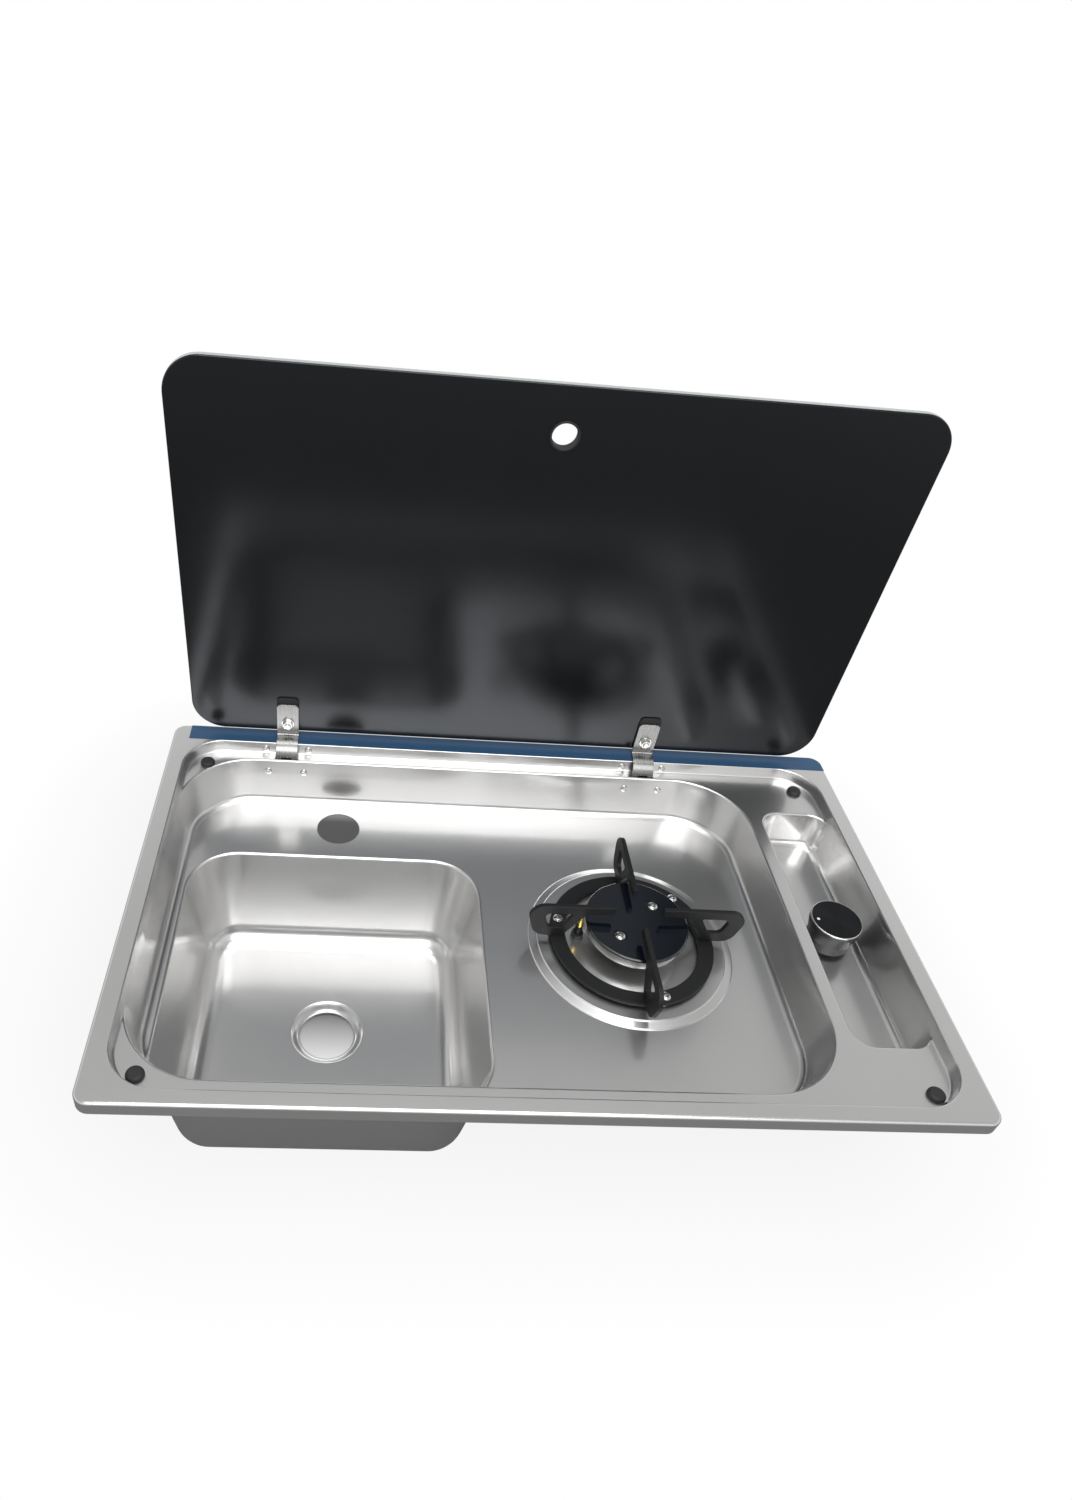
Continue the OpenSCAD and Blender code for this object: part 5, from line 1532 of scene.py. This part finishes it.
@dataclass
class Burner(PieceGroup):
    """The burner above the deck: cap with its screws, flame ring and flame sensor."""

    cap_r: float = 40.8
    cap_z: float = -11.2
    cap_t: float = 3.0
    head_r: float = 38.0
    head_h: float = 10.4
    neck_r: float = 21.0
    ports: int = 30
    screw_pitch: float = 45.0
    seat_r: float = 5.4
    seat_depth: float = 1.2
    seat_angles: tuple[float, float] = (45.0, 225.0)
    cap_rounding: float = 2.6
    screw: tuple[float, float, float, float] = (4.2, 2.2, 2.0, 8.0)
    screw_turn: float = 25.0
    port_height: float = 2.2
    port_depth: float = 7.0
    port_gap: float = 0.14
    port_steps: int = 4
    port_lap: float = 0.01
    neck_wall: float = 6.0
    sensor_rise: float = 21.6
    sensor_under: float = 7.0
    sensor_r: float = 3.0
    sensor_body_end: float = 9.0
    sensor_neck: float = 2.6
    sensor_tip: float = 2.2

    def add_on_axis(self, maker: MeshMaker, name: str, node: str, slot: str) -> None:
        """Adds a piece on the burner's axis, with the slot's finish."""
        self.add(maker, name, node, Body.TRAY, slot, place=Matrix.Translation((*BURNER_AXIS, 0)))

    def cap(self) -> None:
        """Makes the enamelled cap with its two sunk screw seats."""
        maker = MeshMaker()
        low, face, edge = self.cap_z - self.cap_t, self.cap_z - self.seat_depth, self.cap_r
        flat_r = edge - self.cap_rounding
        line = shape(
            (0, low), (edge - 2.4, low, 0.5), (edge, low + 0.8, 0.4), (edge, self.cap_z, 1.6),
            (flat_r, self.cap_z),
            closed=False, turn_step=12,
        )
        maker.lathe(line, WIDE)
        angles = [math.radians(angle) for angle in self.seat_angles]
        seats = [(self.screw_pitch / 2 * math.cos(a), self.screw_pitch / 2 * math.sin(a)) for a in angles]
        loops = [ring(flat_r, WIDE).spots] + [ring(self.seat_r, SMALL, seat).spots for seat in seats]
        maker.flat(loops, self.cap_z, UP)
        wall = shape(
            (0, face), (self.seat_r - 0.5, face, 0.3), (self.seat_r, self.cap_z), closed=False, turn_step=20
        )
        for seat in seats:
            with maker.moved(Matrix.Translation((*seat, 0))):
                maker.lathe(wall.flipped(), SMALL)
        self.add_on_axis(maker, "burner_cap_enamelled", "burner_cap", "gloss_black_enamel")
        maker = MeshMaker()
        for seat, angle in zip(seats, self.seat_angles):
            with maker.moved(Matrix.Translation((*seat, face)) @ turn_about("Z", angle + self.screw_turn)):
                cross_screw(maker, *self.screw)
        self.add_on_axis(maker, "cap_cross_screws", "cap_screws", "bright_steel")

    def flame_ring(self) -> None:
        """Makes the aluminium flame ring with its ports."""
        maker = MeshMaker()
        top = self.cap_z - self.cap_t
        low, port_low = top - self.head_h, top - self.port_height
        neck, wall, edge = self.neck_r - self.neck_wall, self.head_r - self.port_depth, self.head_r
        line = shape(
            (neck, low), (edge - 2, low, 0.8), (edge, low + 1.4, 0.8), (edge, port_low, 0.2),
            (wall, port_low), (neck, port_low),
            turn_step=15,
        )
        maker.lathe(line, WIDE)
        tooth = 360 / self.ports
        for k in range(self.ports):
            a0, a1 = (math.radians(tooth * (k + part)) for part in (self.port_gap, 1 - self.port_gap))
            arc = [(edge, a0 + (a1 - a0) * s / self.port_steps) for s in range(self.port_steps + 1)]
            corners = [Corner(r * math.cos(a), r * math.sin(a)) for r, a in [(wall, a0), *arc, (wall, a1)]]
            maker.plate(trace(corners), [], port_low - self.port_lap, top, 0.0)
        self.add_on_axis(maker, "flame_ring_ported", "burner_head", "burner_aluminium")

    def flame_sensor(self) -> None:
        """Makes the flame sensor: a dark body with a brass tip."""
        maker = MeshMaker()
        low, top, r = DISC_TOP - self.sensor_under, DISC_TOP + self.sensor_rise, self.sensor_r
        end, neck, tip = top - self.sensor_body_end, self.sensor_neck, self.sensor_tip
        lower = shape(
            (0, low), (r, low, 0.3), (r, end - 2, 0.4), (neck, end - 1.4), (neck, end),
            closed=False,
        )
        maker.lathe(lower, TINY, 0)
        upper = shape(
            (neck, end), (r, end + 0.4, 0.2), (r, end + 4.4, 0.4), (tip, end + 5), (tip, top, 1.6), (0, top),
            closed=False,
        )
        maker.lathe(upper, TINY, 1)
        finishes, place = ("matt_black_enamel", "turned_brass"), Matrix.Translation((*SENSOR_AXIS, 0))
        self.add(maker, "flame_sensor_turned", "flame_sensor", Body.TRAY, "brass", finishes, place)

    def build(self) -> None:
        """Makes the burner's visible pieces."""
        self.cap()
        self.flame_ring()
        self.flame_sensor()


@dataclass
class ControlKnob(PieceGroup):
    """The push-and-turn knob with its spun cap and its white dot."""

    low: float = -26.7
    height: float = 24.5
    top_r: float = 20.0
    foot_r: float = 17.5
    skirt: float = 2.2
    stem_r: float = 4.0
    dot: float = 15.0
    cap_t: float = 1.1
    edge_w: float = 0.7
    face_drop: float = 0.15
    bore_depth: float = 10.0
    dot_r: float = 1.2
    dot_t: float = 0.14
    dot_sunk: float = 0.01
    waist: float = 5.4

    def build(self) -> None:
        """Makes the knob's shell, its cap and its dot."""
        place = Matrix.Translation((*KNOB_AXIS, self.low))
        h, r, foot = self.height, self.top_r, self.foot_r
        cap_low, bore, inside = h - self.cap_t, h - self.bore_depth, foot - self.skirt
        edge, face_z = r - self.edge_w, h - self.face_drop
        maker = MeshMaker()
        shell = shape(
            (self.stem_r, bore), (inside, bore, 0.5), (inside, 0, 0.3), (foot, 0, 0.6), (foot, h * 0.33, 3.0),
            (r - 0.1, h - self.waist, 3.0), (r, cap_low), (self.stem_r, cap_low),
        )
        maker.lathe(shell, WIDE, 0)
        cap = shape((0, cap_low), (r, cap_low), (r, h, 0.5), (edge, h), closed=False, turn_step=15)
        maker.lathe(cap, WIDE, 1)
        face = shape((edge, h), (edge - 0.3, face_z, 0.2), (0, face_z), closed=False, turn_step=15)
        maker.lathe(face, WIDE, 2)
        finishes = ("black_plastic", "bright_cut_edge", "spun_black_cap")
        self.add(maker, "knob_spun", "knob", Body.KNOB, "black_plastic", finishes, place)
        maker = MeshMaker()
        dot = shape((0, 0), (self.dot_r, 0), (self.dot_r, self.dot_t, 0.08), (0, self.dot_t), closed=False)
        maker.lathe(dot, TINY)
        maker.place(Matrix.Translation((-self.dot, 0, face_z - self.dot_sunk)))
        self.add(maker, "knob_dot", "knob_marker", Body.KNOB, "white_print", place=place)


@dataclass
class SmallParts(PieceGroup):
    """Bumpers on the ledge and the film left on the rear rim."""

    bumper_x: float = 262.2
    bumper_ys: tuple[float, float] = (-158.7, 145.6)
    bumper_r: float = 6.1
    bumper_top: float = 4.5
    stud_r: float = 2.0
    film_box: tuple[float, float, float, float] = (-281.0, 294.4, 166.2, 184.4)
    film_corner: float = 9.4
    film_rounding: float = 0.5
    film_t: float = 0.15
    film_bevel: float = 0.05

    def bumpers(self) -> None:
        """Makes the four rubber bumpers."""
        maker = MeshMaker()
        stud, r, top = self.stud_r, self.bumper_r, self.bumper_top
        line = shape(
            (0, LEDGE - 2.4), (stud + 0.6, LEDGE - 1.8, 0.3), (stud, LEDGE - 0.8), (stud, LEDGE),
            (r, LEDGE, 0.3), (r, top, 2.6), (0, top),
            closed=False,
        )
        for x in (-self.bumper_x, self.bumper_x):
            for y in self.bumper_ys:
                with maker.moved(Matrix.Translation((x, y, 0))):
                    maker.lathe(line, MIDDLE)
        self.add(maker, "lid_rubber_bumpers", "lid_bumpers", Body.TRAY, "black_rubber")

    def film(self) -> None:
        """Makes the strip of blue film on the rear rim."""
        maker = MeshMaker()
        x0, x1, y0, y1 = self.film_box
        small = self.film_rounding
        outline = shape((x0, y0, small), (x1, y0, small), (x1, y1, self.film_corner), (x0, y1, small))
        maker.plate(outline, [], RIM_RISE, RIM_RISE + self.film_t, self.film_bevel, steps=2)
        self.add(maker, "rim_film", "protective_film", Body.TRAY, "blue_film")

    def build(self) -> None:
        """Makes the bumpers and the film."""
        self.bumpers()
        self.film()


# CAD nodes that keep their shape


@dataclass(frozen=True)
class Dressing:
    """A finish for a CAD node whose shape is already right."""

    node: str
    finish: str
    bevel: float = 0.25
    bevel_from: float = 50.0
    bevel_steps: int = 2

    def apply(self, materials: Materials) -> None:
        """Puts the finish and softened edges on the node."""
        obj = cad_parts[self.node]
        obj.data.materials.clear()
        obj.data.materials.append(materials[self.finish])
        if self.bevel > 0:
            soft = obj.modifiers.new("soft_edges", "BEVEL")
            soft.width = self.bevel * MM
            soft.segments = self.bevel_steps
            soft.limit_method = "ANGLE"
            soft.angle_limit = math.radians(self.bevel_from)
            soft.harden_normals = False
        LOG.info("%s: CAD node with %s", self.node, self.finish)


DRESSINGS = (
    Dressing("rim_seal", "foam_strip"),
    Dressing("hinge_box_left", "zinc_plate"),
    Dressing("hinge_box_right", "zinc_plate"),
    Dressing("hinge_pin_left", "bright_steel"),
    Dressing("hinge_pin_right", "bright_steel"),
    Dressing("hinge_spring_left", "bright_steel", 0.1),
    Dressing("hinge_spring_right", "bright_steel", 0.1),
    # The burner base is made near-black: painted shade under the flame ring
    Dressing("burner_base", "dark_casting", 0.3),
    Dressing("burner_gasket", "fibre_gasket", 0.1),
    Dressing("burner_nut", "zinc_plate", 0.4),
    Dressing("injector", "turned_brass", 0.2),
    Dressing("injector_holder", "zinc_plate", 0.3),
    # The sensor nut is made near-black too: painted shade under the flame ring
    Dressing("sensor_nut", "dark_casting", 0.3),
    Dressing("sensor_lead", "drawn_copper", 0.0),
    Dressing("valve_stem", "bright_steel", 0.2),
    Dressing("valve_plunger", "turned_brass", 0.1),
    Dressing("valve_spring", "bright_steel", 0.1),
    Dressing("valve_body", "cast_alloy", 0.8),
    Dressing("valve_gasket", "black_rubber", 0.1),
    Dressing("valve_neck_nut", "zinc_plate", 0.4),
    Dressing("magnet_unit", "zinc_plate", 0.5),
    Dressing("magnet_nut", "turned_brass", 0.3),
    Dressing("feed_pipe", "drawn_tube", 0.0),
    Dressing("feed_nuts", "turned_brass", 0.4),
    Dressing("inlet_pipe", "drawn_tube", 0.2),
    Dressing("inlet_nut", "turned_brass", 0.4),
    Dressing("clamp_brackets", "zinc_plate", 0.3),
    Dressing("clamp_screws", "zinc_plate", 0.3),
)


# Studio


@dataclass
class Studio:
    """Camera, floor, lamps and world."""

    eye: tuple[float, float, float] = (-134.07, -504.86, 556.28)
    right: tuple[float, float, float] = (0.99572, -0.02665, 0.08847)
    down: tuple[float, float, float] = (0.05094, -0.64057, -0.76621)
    look: tuple[float, float, float] = (0.07709, 0.76744, -0.63647)
    focal_px: float = 973.314
    middle_px: tuple[float, float] = (432.04, 760.34)
    frame_px: tuple[float, float] = (1072.0, 1500.0)
    sensor: float = 36.0
    floor_z: float = -138.0
    floor_half: float = 12.0
    floor_shade: float = 0.2
    floor_roughness: float = 0.9
    # A rectangle under and behind the tray where the floor gets no glow: a painted contact shadow, which also
    # darkens the floor seen through the tap hole; the glow rises over glow_near and glow_wide outside it
    shadow_patch_middle: tuple[float, float, float] = (0.0, 0.1075, 0.0)
    shadow_patch_half: tuple[float, float, float] = (0.22, 0.1175, 0.0)
    glow_near: tuple[float, float, float, float] = (0.0, 0.05, 0.0, 0.85)
    glow_wide: tuple[float, float, float, float] = (0.05, 0.25, 0.0, 0.15)
    # Reflections see the floor's glow only from 0.6 m out, so the floor near the object stays dark in them:
    # painted shade
    glow_mirrored: tuple[float, float, float, float] = (0.6, 2.4, 0.0, 0.7)
    sky_heights: tuple[float, float] = (0.5, 0.86)
    sky_levels: tuple[float, float] = (0.82, 0.35)
    fill_level: float = 0.45
    clip: tuple[float, float] = (0.01, 50.0)

    def camera(self) -> None:
        """Puts the camera where the photograph was taken from."""
        data = bpy.data.cameras.new("camera")
        data.sensor_width = self.sensor
        long_side = max(self.frame_px)
        data.lens = self.focal_px * self.sensor / long_side
        data.shift_x = (self.frame_px[0] / 2 - self.middle_px[0]) / long_side
        data.shift_y = (self.middle_px[1] - self.frame_px[1] / 2) / long_side
        data.clip_start, data.clip_end = self.clip
        cam = bpy.data.objects.new("camera", data)
        bpy.context.scene.collection.objects.link(cam)
        x, y, z = Vector(self.right), -Vector(self.down), -Vector(self.look)
        m = Matrix((x, y, z)).transposed().to_4x4()
        m.translation = Vector(self.eye) * MM
        cam.matrix_world = m
        bpy.context.scene.camera = cam

    def lamp(
        self, name: str, place: tuple[float, float, float], size: tuple[float, float], watts: float
    ) -> None:
        """Adds a rectangular soft lamp that points at the origin.

        Args:
            name: its name.
            place: where it hangs, in metres.
            size: its width and height, in metres.
            watts: its power.
        """
        data = bpy.data.lights.new(name, "AREA")
        data.shape = "RECTANGLE"
        data.size, data.size_y = size
        data.energy = watts
        obj = bpy.data.objects.new(name, data)
        bpy.context.scene.collection.objects.link(obj)
        obj.location = Vector(place)
        obj.rotation_mode = "QUATERNION"
        obj.rotation_quaternion = (Vector() - Vector(place)).to_track_quat("-Z", "Y")

    def world(self) -> None:
        """A plain white world for the camera and the reflections, and a softer one for the rest."""
        world = bpy.data.worlds.new("studio")
        world.use_nodes = True
        bpy.context.scene.world = world
        sh = Shader(world.node_tree)
        back = world.node_tree.nodes["Background"]
        path = sh.node("ShaderNodeLightPath")
        seen = sh.maths("MAXIMUM", path.outputs["Is Camera Ray"], path.outputs["Is Transmission Ray"])
        strength = sh.maths("MAXIMUM", seen, path.outputs["Is Glossy Ray"])
        height = sh.node("ShaderNodeSeparateXYZ", {0: sh.here("Generated")}).outputs["Z"]
        shown = sh.maths("MAXIMUM", sh.remap(height, *self.sky_heights, *self.sky_levels), seen)
        level = sh.remap(strength, 0.0, 1.0, self.fill_level, shown)
        back.inputs["Color"].default_value = (1.0, 1.0, 1.0, 1.0)
        world.node_tree.links.new(level, back.inputs["Strength"])

    def floor(self) -> None:
        """A pale floor that glows white and fades into the background; its glow is held back in a rectangle
        under and behind the object as a painted shadow, where the lamps' own faint shadow also shows, and
        near the object in reflections as painted shade.
        """
        mesh = bpy.data.meshes.new("floor")
        far, z = self.floor_half, self.floor_z * MM
        mesh.from_pydata([(-far, -far, z), (far, -far, z), (far, far, z), (-far, far, z)], [], [(0, 1, 2, 3)])
        obj = bpy.data.objects.new("floor", mesh)
        bpy.context.scene.collection.objects.link(obj)
        material = bpy.data.materials.new("pale_floor")
        material.use_nodes = True
        tree = material.node_tree
        sh = Shader(tree)
        shader = tree.nodes["Principled BSDF"]
        shader.inputs["Roughness"].default_value = self.floor_roughness
        shader.inputs["Base Color"].default_value = (self.floor_shade,) * 3 + (1.0,)
        glow = sh.node("ShaderNodeEmission", {"Color": (1.0, 1.0, 1.0, 1.0), "Strength": 1.0})
        path = sh.node("ShaderNodeLightPath")
        where = sh.here()
        # No glow inside the rectangle and a rising glow beyond it: a painted shadow on the floor
        away = sh.vector("ABSOLUTE", sh.vector("SUBTRACT", where, self.shadow_patch_middle))
        off = sh.vector("MAXIMUM", sh.vector("SUBTRACT", away, self.shadow_patch_half), (0.0, 0.0, 0.0))
        beyond = sh.vector("LENGTH", sh.vector("MULTIPLY", off, IN_PLAN))
        near, wide = sh.remap(beyond, *self.glow_near), sh.remap(beyond, *self.glow_wide)
        seen = sh.maths("MULTIPLY", path.outputs["Is Camera Ray"], sh.maths("ADD", near, wide))
        other = sh.maths("MAXIMUM", path.outputs["Is Glossy Ray"], path.outputs["Is Transmission Ray"])
        mirrored = sh.maths("MULTIPLY", other, sh.remap(beyond, *self.glow_mirrored))
        amount = sh.maths("MAXIMUM", seen, mirrored)
        mix = sh.node("ShaderNodeMixShader", {0: amount, 1: shader.outputs[0], 2: glow.outputs[0]})
        tree.links.new(mix.outputs[0], tree.nodes["Material Output"].inputs["Surface"])
        mesh.materials.append(material)

    def build(self) -> None:
        """Sets up the whole studio."""
        bpy.context.scene.view_settings.view_transform = "Standard"
        self.camera()
        self.world()
        self.floor()
        self.lamp("front", place=(0.0, -1.45, 1.6), size=(1.7, 1.3), watts=27.0)
        self.lamp("overhead", place=(0.0, 0.0, 1.9), size=(1.3, 0.8), watts=12.0)


def main() -> None:
    """Builds the studio and every piece in order."""
    logging.basicConfig(level=logging.INFO, format="%(message)s")
    Studio().build()
    materials = make_materials()
    sheet = TraySheet(materials)
    sheet.build()
    lid = GlassLid(materials)
    lid.build()
    hinges = tuple(LidHinge(materials, side, x, lid) for side, x in zip(("left", "right"), HINGE_XS))
    for hinge in hinges:
        hinge.build()
    LidFasteners(materials, hinges, sheet).build()
    for kind in (PanSupport, Burner, ControlKnob, SmallParts):
        kind(materials).build()
    for dressing in DRESSINGS:
        dressing.apply(materials)


if __name__ == "__main__":
    main()
